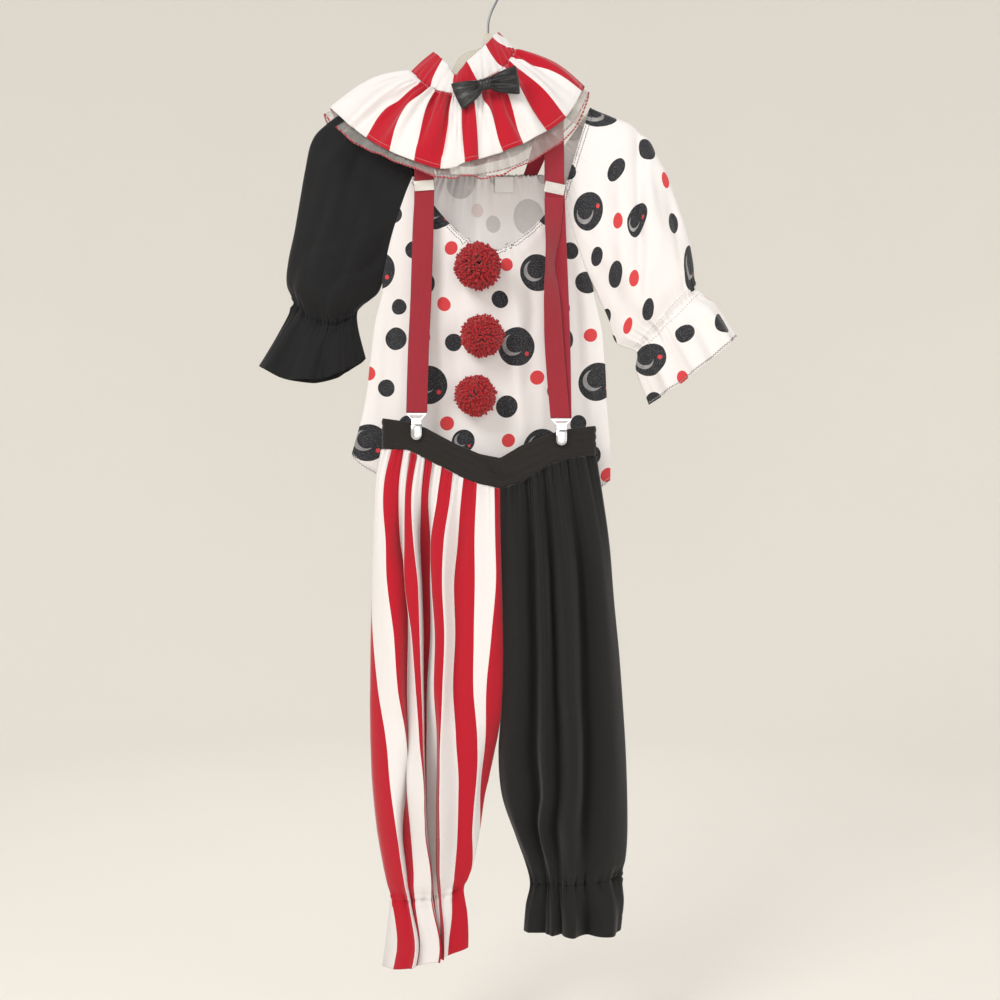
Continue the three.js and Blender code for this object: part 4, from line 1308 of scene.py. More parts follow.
# ---- blouse --------------------------------------------------------------------------------------------
@dataclass
class Panel:
    """The blouse's front or back, from the neckline to the hem."""

    name: str
    node: str
    back: bool
    creases: tuple[Crease, ...]
    seed: int
    columns: int = 140
    down: int = 130

    def place(self, u: Array, v: Array) -> Array:
        """Returns the panel's points before its folds."""
        last = len(BODY["leftX"]) - 1
        row = rows_at({k: w for k, w in BODY.items() if not k.startswith("edge")}, v * last)
        edge_out = np.interp(v * last, np.arange(last + 1), BODY["edgeBack" if self.back else "edgeFront"])
        behind = 1.0 if self.back else 0.0
        edge = SLEEVE_MIDDLE + (edge_out if self.back else -edge_out)
        middle = row["back"] if self.back else row["front"]
        neck = 0 if self.back else NECK_DIP * (1 - np.abs(2 * u - 1) ** 1.6) * (1 - v) ** 2
        hem = HEM_DIP * (1 - (2 * u - 1) ** 6) * v ** 3
        left_x = row["leftX"] + behind * row["leftIn"]
        right_x = row["rightX"] - behind * row["rightIn"]
        left_z = row["leftZ"] + behind * row["leftRise"]
        right_z = row["rightZ"] + behind * row["rightRise"]
        return np.stack([
            left_x + (right_x - left_x) * u,
            edge + (middle - edge) * np.sin(np.pi * u),
            left_z + (right_z - left_z) * u - neck - hem,
        ], -1)

    def build(self) -> Cloth:
        """Makes the panel and returns its grid."""
        cloth = Cloth(self.columns, self.down, self.place)
        cloth.facing(np.array([0, 1 if self.back else -1, 0]))
        u, v = cloth.u, cloth.v
        width = cloth.points[-1, :, 0] - cloth.points[0, :, 0]
        across = (u - 0.5) * (0.75 * width + 0.25 * width.max() * 1.05)
        lengths = np.linalg.norm(np.diff(cloth.points, axis=1), axis=-1)
        down = np.concatenate([np.zeros((len(u), 1)), np.cumsum(lengths, 1)], 1)
        cloth.flat = np.stack([across + 90 * self.back, down - cloth.points[:, :1, 2]], -1)
        edge = inset(u, 0.06)
        if self.back:
            cloth.points[..., 2] += 1.4 * uneven(self.seed + 9, 30, u) * fading(v, 0.02)
        gathers = 3.2 if self.back else 2.4
        shirring = (gathers * uneven(self.seed, 19, u) * fading(v, 0.05)
                    + 1.6 * uneven(self.seed + 1, 8, u) * fading(v, 0.16))
        flutter = 2.2 * uneven(self.seed + 2, 6, u) * smoothstep(0.7, 1, v)
        swing = 2.2 * uneven(self.seed + 3, 5, u + 0.03 * np.sin(6 * v)) * smoothstep(0.1, 0.4, v)
        cloth.push(edge * (shirring + flutter + swing))
        for crease in self.creases:
            cloth.push(crease.amount(cloth.points) * edge)
        obj = cloth.mesh(self.name, CLOTH)
        dress(obj, DOTTED, DOTTED_INSIDE_PAINTED_LIGHTER)
        enrol(obj, Slot.DOTTED, [self.node])
        declare(450.0, 430.0, Hold.GATHERED, 0.9)
        return cloth


@dataclass
class Sleeve:
    """A raglan sleeve: a wrapped panel with an elastic cuff line and a flounce."""

    name: str
    node: str
    rows: dict[str, Array]
    side: int
    finish: object
    slot: Slot
    seed: int
    creases: tuple[Crease, ...]
    columns: int = 180
    down: int = 130
    cuff_row: float = 9.0
    fine_gathers: int = 40
    coarse_gathers: int = 15
    casing: float = 0.022

    def place(self, u: Array, v: Array) -> Array:
        """Returns the sleeve's points before its folds."""
        last = len(self.rows["inX"]) - 1
        t = v * last
        row = rows_at(self.rows, t)
        index = np.arange(last + 1)
        sewn = index < RAGLAN_ROWS
        name = "left" if self.side < 0 else "right"
        row["middle"] = np.full_like(u, SLEEVE_MIDDLE)
        row["frontGap"] = np.interp(t, index, np.where(sewn, BODY["edgeFront"], CLOSED_GAP))
        row["backGap"] = np.interp(t, index, np.where(sewn, BODY["edgeBack"], CLOSED_GAP))
        row["rise"] = np.interp(t, index, np.where(sewn, BODY[name + "Rise"], 0))
        row["shift"] = np.interp(t, index, np.where(sewn, -self.side * BODY[name + "In"], 0))
        return wrapped(row, 2 * u)

    def build(self) -> Cloth:
        """Makes the sleeve and returns its grid."""
        cloth = Cloth(self.columns, self.down, self.place, outward=-self.side)
        u, v = cloth.u, cloth.v
        widths = np.linalg.norm(np.diff(cloth.points, axis=0), axis=-1).sum(0)
        down = run_length(cloth.points[self.columns // 4])
        across = (u - 0.5) * (0.7 * widths + 0.3 * widths.max())
        cloth.flat = np.stack([across + 60, np.broadcast_to(down, u.shape) + 40], -1)
        cuff = self.cuff_row / (len(self.rows["inX"]) - 1)
        edge = inset(u, 0.05)
        near_neck, near_cuff = fading(v, 0.05), fading(v - cuff, 0.04)
        fine = uneven(self.seed, self.fine_gathers, u)
        coarse = uneven(self.seed + 1, self.coarse_gathers, u + 0.02 * np.sin(9 * v))
        lobes = 7.5 * uneven(self.seed + 2, 7, u + 0.02 * v, 0.25) + 1.6 * coarse
        depth = fine * (1.6 * near_neck + 2.2 * near_cuff) + coarse * (1.6 * near_neck + 2.6 * near_cuff)
        depth = depth + smoothstep(cuff, 1, v) * lobes - 2.4 * ridge(v, cuff, 0.012)
        depth = depth + 2.5 * uneven(self.seed + 3, 6, u + 0.05 * np.sin(5 * v)) * smoothstep(0.1, 0.4, v)
        for side in (-1, 1):
            depth = depth + 1.3 * ridge(v, cuff + side * self.casing, 0.009)
        cloth.push(depth * edge)
        front = np.where(u < 0.5, 1.0, 0.0)
        for crease in self.creases:
            cloth.push(crease.amount(cloth.points) * edge * front)
            line = tuple((x + 6, z - 9) for x, z in crease.line)
            behind = Crease(line, 0.8 * crease.depth, 1.2 * crease.width)
            cloth.push(behind.amount(cloth.points) * edge * (1 - front))
        obj = cloth.mesh(self.name, CLOTH)
        dress(obj, self.finish, DOTTED_INSIDE_PAINTED_LIGHTER if self.finish is DOTTED else None)
        enrol(obj, self.slot, [self.node])
        declare(380.0, 380.0, Hold.GATHERED, 0.85)
        return cloth


FRONT_CREASES = (
    Crease(((-58, -440), (-70, -520), (-64, -610), (-72, -690)), 4.0, 11),
    Crease(((-40, -470), (-46, -560), (-40, -650)), -3.5, 9),
    Crease(((30, -450), (44, -520), (40, -600), (52, -700)), 4.5, 10),
    Crease(((58, -430), (68, -510), (60, -620)), -4.0, 9),
    Crease(((78, -500), (84, -600), (80, -700)), 3.5, 9),
    Crease(((-124, -420), (-132, -520), (-128, -640), (-140, -720)), 4.0, 12),
    Crease(((-146, -470), (-150, -560), (-158, -660)), -3.5, 10),
    Crease(((126, -440), (134, -540), (130, -660)), -4.0, 10),
    Crease(((146, -470), (152, -580), (154, -700)), 4.0, 10),
    Crease(((4, -480), (10, -530)), -3.0, 9),
    Crease(((-30, -590), (14, -600), (50, -590)), 2.4, 12),
    Crease(((100, -360), (60, -420)), 2.2, 8),
    Crease(((-96, -350), (-56, -400)), 2.2, 8),
)
BACK_CREASES = (
    Crease(((-70, -320), (-60, -460), (-72, -640)), 4.0, 13),
    Crease(((-20, -330), (-8, -480), (-20, -700)), -4.0, 12),
    Crease(((36, -330), (46, -470), (38, -640)), 4.0, 12),
    Crease(((84, -350), (92, -520), (84, -700)), -3.5, 12),
    Crease(((-120, -420), (-128, -560), (-140, -700)), -3.5, 12),
    Crease(((130, -460), (140, -600), (146, -720)), 3.5, 12),
)
BLACK_SLEEVE_CREASES = (
    Crease(((-160, -230), (-200, -300), (-220, -400)), -4.0, 12),
    Crease(((-190, -220), (-240, -300), (-258, -400)), 4.0, 12),
    Crease(((-150, -380), (-196, -420), (-246, -430)), 3.5, 10),
    Crease(((-150, -420), (-190, -452), (-230, -468)), -4.0, 9),
    Crease(((-232, -330), (-262, -420), (-270, -470)), -3.5, 9),
    Crease(((-200, -440), (-214, -500)), 3.0, 8),
)
DOTTED_SLEEVE_CREASES = (
    Crease(((225, -245), (223, -360), (224, -490)), -8.0, 8),
    Crease(((238, -250), (238, -360), (236, -480)), 4.0, 8),
    Crease(((206, -230), (196, -330), (200, -460)), 4.0, 10),
    Crease(((240, -330), (252, -400), (250, -450)), 4.0, 10),
    Crease(((170, -300), (176, -400), (196, -490)), -3.5, 10),
    Crease(((140, -400), (180, -440), (214, -500)), 3.0, 9),
    Crease(((268, -330), (282, -400), (286, -440)), -3.5, 8),
)


@dataclass
class Blouse:
    """Front, back, two raglan sleeves, their sewing and the label in the neck."""

    label_width: float = 28.0
    label_drop: float = 24.0
    label_left: float = 10.0

    def build(self) -> None:
        """Makes every piece of the blouse."""
        front_panel = Panel("top_front_cloth", "top_front", False, FRONT_CREASES, 11)
        back_panel = Panel("top_back_cloth", "top_back", True, BACK_CREASES, 31)
        front, back = front_panel.build(), back_panel.build()
        black = Sleeve("sleeve_black_cloth", "sleeve_black", BLACK_SLEEVE, -1, SLEEVE_KNIT, Slot.BLACK, 51,
                       BLACK_SLEEVE_CREASES).build()
        dotted = Sleeve("sleeve_dotted_cloth", "sleeve_dotted", DOTTED_SLEEVE, 1, DOTTED, Slot.DOTTED, 71,
                        DOTTED_SLEEVE_CREASES).build()
        seams = Stitching("black_sewing", BLACK_THREAD, Slot.BLACK, 3.8, 3.5, 1.4)
        gather = Stitching("cuff_sewing", BLACK_THREAD, Slot.BLACK, 5.0, 2.4)
        edges = Stitching("black_overlock", BLACK_THREAD, Slot.BLACK, 2.2, 4.6, 0.9, slant=58)
        pale = Stitching("white_overlock", WHITE_THREAD, Slot.DOTTED, 2.6, 3.6, 0.8, slant=40)
        for cloth, drops in ((front, (2.2, 7.0)), (dotted, (2.2, 7.0)), (back, (8.0, 13.0))):
            for drop in drops:
                seams.run(*below_edge(cloth, drop))
        for cloth in (front, back):
            self.along_row(edges, cloth, 0.994)
            self.along_row(pale, cloth, 0.986)
        for row in (0.796, 0.84):
            self.along_row(gather, dotted, row)
        self.along_row(edges, back, 0.0)
        edges.run(back.points[:, 0], -back.normals()[:, 0])
        self.along_row(edges, black, 0.0)
        self.along_row(edges, dotted, 0.995)
        self.along_row(pale, dotted, 0.99)
        for stitching in (seams, gather, edges, pale):
            stitching.build()
        self.label(back_panel)

    def along_row(self, stitching: Stitching, cloth: Cloth, v: float) -> None:
        """Sews along the row of a piece that is nearest to v."""
        j = round(v * (cloth.points.shape[1] - 1))
        stitching.run(cloth.points[:, j], cloth.normals()[:, j])

    def label(self, back_panel: Panel) -> None:
        """Makes the bare label that hangs inside the back's neckline."""
        def place(u: Array, v: Array) -> Array:
            """Hangs the label from the neckline, with its foot curling forward."""
            x = self.label_left + u * self.label_width
            left, right = BODY["leftX"][0], BODY["rightX"][0]
            top = back_panel.place((x - left) / (right - left), np.zeros_like(v))
            curl = 2.5 * v ** 2 + 0.8 * np.sin(np.pi * u)
            return np.stack([x, top[..., 1] - 4.2 - curl, top[..., 2] - 3 - v * self.label_drop], -1)

        cloth = Cloth(28, 24, place, outward=1)
        cloth.flat = np.stack([cloth.u * self.label_width, cloth.v * self.label_drop], -1)
        obj = cloth.mesh("neck_label", 0.6)
        dress(obj, LABEL_TAPE)
        enrol(obj, Slot.LABEL, ["label"])
        declare(self.label_width, self.label_drop, Hold.HUNG)
        sewing = Stitching("label_sewing", RED_THREAD, Slot.LABEL, pitch=2.6, length=1.9, width=0.5)
        sewing.run(cloth.points[:, 2], cloth.normals()[:, 2] * np.sign(-cloth.normals()[:, 2, 1:2]))
        sewing.build()


@dataclass
class Pompom:
    """A ball of cut yarn: hundreds of tapered strands round a core."""

    name: str
    node: str
    x: float
    z: float
    radius: float
    seed: int
    sewn_at: float = -38.0
    strands: int = 1900
    sides: int = 4
    thickness: float = 1.55
    flatten: float = 0.88

    def build(self) -> bpy.types.Object:
        """Makes the pom-pom and returns it."""
        source = np.random.default_rng(self.seed)
        order = np.arange(self.strands) + 0.5
        tilt = np.arccos(1 - 2 * order / self.strands)
        turn = np.pi * (1 + 5 ** 0.5) * order
        ways = np.stack([np.cos(turn) * np.sin(tilt), np.sin(turn) * np.sin(tilt), np.cos(tilt)], -1)
        ways += source.normal(0, 0.03, ways.shape)
        ways /= np.linalg.norm(ways, axis=1, keepdims=True)
        bend = source.normal(0, 0.06, ways.shape)
        tip = source.uniform(0.95, 1.0, self.strands)
        tip = self.radius * (tip - 0.05 * (source.random(self.strands) < 0.2))
        rings = [(0.5, 0.7), (0.8, 1.0), (0.95, 1.1), (1.0, 0.8)]
        helper = np.where(np.abs(ways[:, 2:3]) < 0.9, [[0, 0, 1.0]], [[1.0, 0, 0]])
        side_a = np.cross(ways, helper)
        side_a /= np.linalg.norm(side_a, axis=1, keepdims=True)
        side_b = np.cross(ways, side_a)
        points, unshaded_shares = [], []
        for reach, width in rings:
            centre = (ways + bend * reach ** 2) * (tip * reach)[:, None]
            for k in range(self.sides):
                angle = 2 * np.pi * k / self.sides
                lumpy = self.thickness * width * source.uniform(0.8, 1.2, (self.strands, 1))
                points.append(centre + (side_a * math.cos(angle) + side_b * math.sin(angle)) * lumpy)
                # Painted shade: 0 on the inner rings, rising to 1 at the strands' tips, which the yarn's
                # colour reads.
                unshaded_shares.append(np.full(self.strands, max(0.0, (reach - 0.7) / 0.3)))
        points = np.stack(points, 1)
        unshaded_shares = np.stack(unshaded_shares, 1)
        faces = []
        for ring in range(len(rings) - 1):
            for k in range(self.sides):
                a, b = ring * self.sides + k, ring * self.sides + (k + 1) % self.sides
                faces.append([a, a + self.sides, b + self.sides, b])
        per = points.shape[1]
        quads = (np.array(faces)[None] + (np.arange(self.strands) * per)[:, None, None]).reshape(-1, 4)
        obj = mesh_object(self.name, points.reshape(-1, 3), quads, unshaded_shares.ravel())
        self.close_ends(obj)
        middle = Vector((self.x, self.sewn_at - self.radius * self.flatten, self.z)) * MM
        for vertex in obj.data.vertices:
            vertex.co = Vector((vertex.co.x, vertex.co.y * self.flatten, vertex.co.z)) + middle
        dress(obj, RED_YARN)
        enrol(obj, Slot.YARN, [self.node])
        return obj

    def close_ends(self, obj: bpy.types.Object) -> None:
        """Closes both ends of every strand and makes their faces point outwards."""
        work = bmesh.new()
        work.from_mesh(obj.data)
        edges = [edge for edge in work.edges if edge.is_boundary]
        bmesh.ops.holes_fill(work, edges=edges, sides=self.sides)
        bmesh.ops.recalc_face_normals(work, faces=work.faces)
        work.to_mesh(obj.data)
        work.free()
        obj.data.shade_smooth()


# ---- collar --------------------------------------------------------------------------------------------
# Which stripe of the cloth lies at which ray of the collar, from the left end round the front and back.
COLLAR_RAYS = np.array([0, 1.28, 2.0, 2.48, 3.0, 3.93, 4.63, 5.5, 6.03, 6.57, 7.05, 7.68, 8.7, 14])
COLLAR_STRIPE = np.array([0, 1, 2, 3, 4, 5, 6, 7, 8, 9, 10, 11, 12, 22.0])
STAND_TOP_RAYS = np.array([0, 1.4, 2.87, 4.02, 5.56, 6.46, 14])
STAND_SEAM_RAYS = np.array([0, 1.8, 3.14, 4.71, 6.2, 8.2, 14])
STAND_STRIPE = np.array([1, 2, 3, 4, 5, 6, 15.0])
COLLAR_SEAM_RAYS = np.array([0, 1.1, 1.8, 2.1, 3.1, 3.8, 4.4, 4.7, 5.9, 6.3, 6.75, 7.1, 8.7, 14])
RUFFLE_CREASES = (
    Crease(((-204, -235), (-155, -195), (-112, -166)), 6.5, 7),
    Crease(((-204, -248), (-153, -208), (-108, -180)), -6, 6),
    Crease(((-104, -190), (-118, -225), (-140, -262)), 4.5, 7),
    Crease(((-122, -188), (-140, -220), (-166, -252)), -3.5, 7),
    Crease(((-76, -192), (-84, -230), (-100, -272)), -6.0, 6),
    Crease(((-64, -198), (-72, -240), (-82, -282)), 5.0, 7),
    Crease(((-52, -202), (-58, -245), (-66, -288)), -5.5, 5),
    Crease(((-43, -206), (-47, -250), (-51, -296)), 4.5, 7),
    Crease(((-35, -210), (-35, -255), (-34, -300)), -4.0, 5),
    Crease(((-6, -204), (6, -240), (26, -280)), 4.5, 8),
    Crease(((19, -192), (34, -228), (54, -268)), -6.0, 6),
    Crease(((36, -188), (52, -222), (73, -260)), 5.0, 8),
    Crease(((51, -186), (70, -218), (92, -252)), -5.5, 6),
    Crease(((54, -160), (82, -184), (112, -212)), 4.5, 8),
    Crease(((60, -140), (92, -160), (128, -186)), -3.5, 7),
)


@dataclass
class Collar:
    """The ruff: a striped stand and ruffle, a clear layer under it and the satin bow."""

    bulge: float = 12.0
    waves: int = 7
    columns: int = 380
    neck: tuple[float, float, float] = (-30, 4, -150)
    bow: tuple[float, float, float] = (-4, -76, -190)
    tilt: float = 16.0
    knot_width: float = 20.0
    knot_height: float = 18.0
    knot_depth: float = 12.0

    def ray(self, u: Array) -> dict[str, Array]:
        """Returns the collar's rays at u."""
        count = len(COLLAR["topX"])
        row = rows_at(COLLAR, np.mod(u, 1) * count, closed=True)
        rays = {k: np.stack([row[k + axis] for axis in "XYZ"], -1) for k in ("top", "seam", "hem")}
        rays["extra"] = row["extra"]
        return rays

    def stripe(self, u: Array, rays: Array) -> Array:
        """Returns where the cloth's stripes lie round the collar, in millimetres of cloth.

        Args:
            u: the place round the collar.
            rays: the rays at which the stripes' edges lie.
        """
        return np.interp(u * len(COLLAR["topX"]), rays, COLLAR_STRIPE) * COLLAR_STRIPES.width

    def stand(self) -> None:
        """Makes the collar's stand, a band from its top to the seam with a slight swell and small gathers."""
        def place(u: Array, v: Array) -> Array:
            """Runs the stand from its top to the seam."""
            ray = self.ray(u)
            return ray["top"] + (ray["seam"] - ray["top"]) * v[..., None]

        cloth = self.ring(20, place)
        u, v = cloth.u, cloth.v
        gathers = 1.3 * uneven(91, 34, u) * v ** 1.5 + 0.8 * uneven(92, 20, u) * (1 - v)
        cloth.push(1.2 * np.sin(np.pi * v) + gathers)
        rays = u * len(COLLAR["topX"])
        top = np.interp(rays, STAND_TOP_RAYS, STAND_STRIPE)
        seam = np.interp(rays, STAND_SEAM_RAYS, STAND_STRIPE)
        cloth.flat = np.stack([(top + (seam - top) * v) * COLLAR_STRIPES.width, v * 40], -1)
        obj = cloth.mesh("collar_stand_cloth", CLOTH)
        dress(obj, COLLAR_STRIPES)
        enrol(obj, Slot.STRIPED, ["collar_band"])
        declare(330.0, 38.0, Hold.GATHERED)

    def ring(self, rows: int, place: Callable[[Array, Array], Array]) -> Cloth:
        """Lays out a ring of the collar, with its normals pointing away from the neck."""
        cloth = Cloth(self.columns, rows, place, closed=True)
        return cloth.facing(cloth.points - self.neck)

    def flare(self, name: str, node: str, finish: object, slot: Slot, thickness: float, rows: int,
              start: float = 0.3, extend: bool = False, lift: float = 0.0, crumple: float = 0.0) -> None:
        """Makes the ruffle or the clear layer under it.

        Args:
            name: the piece's name.
            node: the CAD node that it stands for.
            finish: its finish.
            slot: the record's finish.
            thickness: its thickness.
            rows: cells from the seam to the hem.
            start: how far below the seam it begins.
            extend: whether it runs past the ruffle's hem.
            lift: how far inside the ruffle's surface it lies.
            crumple: the height of its small creases.
        """
        reach = {}

        def place(u: Array, v: Array) -> Array:
            """Runs the flare from the seam to the hem."""
            ray = self.ray(u)
            length = np.linalg.norm(ray["hem"] - ray["seam"], axis=-1)
            low = start / length
            high = 1 + (ray["extra"] / length if extend else 0)
            reach["s"] = low + (high - low) * v
            reach["up"] = (1 - v) * (high - low) * length
            return ray["seam"] + (ray["hem"] - ray["seam"]) * reach["s"][..., None]

        cloth = self.ring(rows, place)
        u, v, s = cloth.u, cloth.v, np.minimum(reach["s"], 1)
        waves = 4 * reach["s"] * np.cos(u * self.waves * 2 * np.pi)
        cloth.push(self.bulge * np.sin(np.pi * s) + waves - lift)
        pleats = 4.2 * uneven(95, 44, u) * (1 - s) ** 2 * smoothstep(0, 0.05, s)
        swags = 3.8 * uneven(96, 22, u) * smoothstep(0.0, 0.4, s) * (1 - 0.3 * s)
        edge_roll = 1.5 * uneven(97, 17, u) * smoothstep(0.7, 1.0, s)
        cloth.push(pleats + swags + edge_roll + crumple * uneven(98, 75, u) * smoothstep(0.2, 1, v))
        front = cloth.points[..., 1] < 0
        for crease in RUFFLE_CREASES:
            cloth.push(crease.amount(cloth.points) * front)
        at_seam, at_hem = self.stripe(u, COLLAR_SEAM_RAYS), self.stripe(u, COLLAR_RAYS)
        cloth.flat = np.stack([at_seam + (at_hem - at_seam) * s, reach["up"]], -1)
        obj = cloth.mesh(name, thickness)
        dress(obj, finish)
        enrol(obj, slot, [node])
        declare(1000.0 if extend else 900.0, 125.0, Hold.GATHERED)
        if not extend:
            self.hem(cloth)

    def hem(self, cloth: Cloth) -> None:
        """Sews the ruffle's hem and the gathering line at its seam."""
        sewing = Stitching("collar_sewing", WHITE_THREAD, Slot.STRIPED, pitch=3.2, length=2.4, width=0.6)
        sewing.run(cloth.points[:, -3], cloth.normals()[:, -3])
        sewing.run(cloth.points[:, 1], cloth.normals()[:, 1])
        sewing.build()

    def at_bow(self, along: Array, up: Array, out: Array, tilt: float) -> Array:
        """Places points of the bow.

        Args:
            along: how far they lie along the bow.
            up: how far across it.
            out: how far in front of it.
            tilt: the slope of this part of the bow, in degrees.
        """
        turn = math.radians(tilt)
        x, y, z = self.bow
        return np.stack([
            x + along * math.cos(turn) - up * math.sin(turn),
            y + out,
            z + along * math.sin(turn) + up * math.cos(turn),
        ], -1)

    def loop(self, side: int, length: float, tilt: float, seed: int, height: float = 20.0) -> None:
        """Makes one loop of the bow, with creases that fan out from the knot.

        Args:
            side: -1 for the left one and 1 for the right one.
            length: how far it reaches from the knot.
            tilt: its slope in degrees.
            seed: fixes its small creases.
            height: half the height of its end.
        """
        def place(u: Array, v: Array) -> Array:
            """Folds the loop back on itself."""
            out = np.sin(np.pi * u)
            tall = 7 + (height - 7) * out ** 0.7
            dip = 2.2 * uneven(seed, 3, v * 0.9 + 0.05) * (1 - out) ** 0.6
            depth = -4.5 * np.cos(np.pi * u) * (1 + out) - dip * np.cos(np.pi * u)
            waist = 1.5 * out * np.abs(2 * v - 1) ** 2
            along = side * (self.knot_width / 2 - 1.5 + (length + 2.9 - waist) * out)
            return self.at_bow(along, tall * (2 * v - 1), depth, tilt)

        cloth = Cloth(64, 30, place)
        cloth.flat = np.stack([cloth.u * 2 * length, cloth.v * 36], -1)
        obj = cloth.mesh("bow_loop_left" if side < 0 else "bow_loop_right", 0.9)
        dress(obj, BLACK_SATIN)
        enrol(obj, Slot.SATIN, ["bow_left" if side < 0 else "bow_right"])
        declare(2 * length + 12, 34.0, Hold.FOLDED)

    def knot(self) -> None:
        """Makes the band round the bow's middle."""
        def place(u: Array, v: Array) -> Array:
            """Wraps the band round the loops."""
            angle = 2 * np.pi * u
            pinch = 1 - 0.1 * np.sin(np.pi * v) + 0.05 * uneven(6, 3, v)
            along = (v - 0.5) * self.knot_width
            return self.at_bow(along, self.knot_height / 2 * np.cos(angle) * pinch,
                               self.knot_depth / 2 * np.sin(angle) * pinch, self.tilt)

        cloth = Cloth(40, 26, place, closed=True)
        cloth.facing(cloth.points - self.bow)
        cloth.push(0.6 * uneven(7, 4, cloth.v))
        cloth.flat = np.stack([cloth.v * self.knot_width, cloth.u * 48], -1)
        obj = cloth.mesh("bow_knot_cloth", 0.9)
        dress(obj, BLACK_SATIN)
        enrol(obj, Slot.SATIN, ["bow_knot"])
        declare(52.0, self.knot_width, Hold.FOLDED)

    def build(self) -> None:
        """Makes every piece of the collar."""
        self.stand()
        self.flare("collar_ruffle_cloth", "collar_ruffle", COLLAR_STRIPES, Slot.STRIPED, CLOTH, 46)
        self.flare("collar_film", "collar_underlayer", ORGANZA, Slot.FILM, FILM, 34,
                   start=8.0, extend=True, lift=5.0, crumple=0.5)
        self.loop(-1, 34.0, 24.0, 3)
        self.loop(1, 38.0, 8.0, 4)
        self.knot()


# ---- braces --------------------------------------------------------------------------------------------
@dataclass
class Strap:
    """A length of elastic webbing that follows a table of places."""

    name: str
    node: str
    rows: dict[str, Array]
    width: float = STRAP_WIDTH

    def build(self) -> Cloth:
        """Makes the strap and returns its grid."""
        last = len(self.rows["x"]) - 1

        def place(u: Array, v: Array) -> Array:
            """Lays the strap's width across its middle line."""
            row = rows_at(self.rows, v * last)
            turn, lean = np.radians(row["turn"]), np.radians(row["lean"])
            half = self.width * (u - 0.5)
            return np.stack([
                row["x"] + half * np.cos(turn) * np.cos(lean),
                row["y"] + half * np.sin(turn),
                row["z"] + half * np.sin(lean),
            ], -1)

        cloth = Cloth(16, 16 * last, place).facing(np.array([0, -1, 0]))
        u = cloth.u
        down = run_length(cloth.points[8])
        ribs = 0.16 * np.abs(np.sin(np.pi * u * 8)) - 0.35 * np.abs(2 * u - 1) ** 6
        wave = 0.25 * np.sin(down / 9.0 + 2 * u)
        cloth.push(ribs + wave)
        cloth.flat = np.stack([u * self.width, np.broadcast_to(down, u.shape)], -1)
        obj = cloth.mesh(self.name, ELASTIC - 0.2)
        dress(obj, RED_WEBBING)
        enrol(obj, Slot.RED_ELASTIC, [self.node])
        declare(self.width, float(down[-1]), Hold.HUNG)
        return cloth


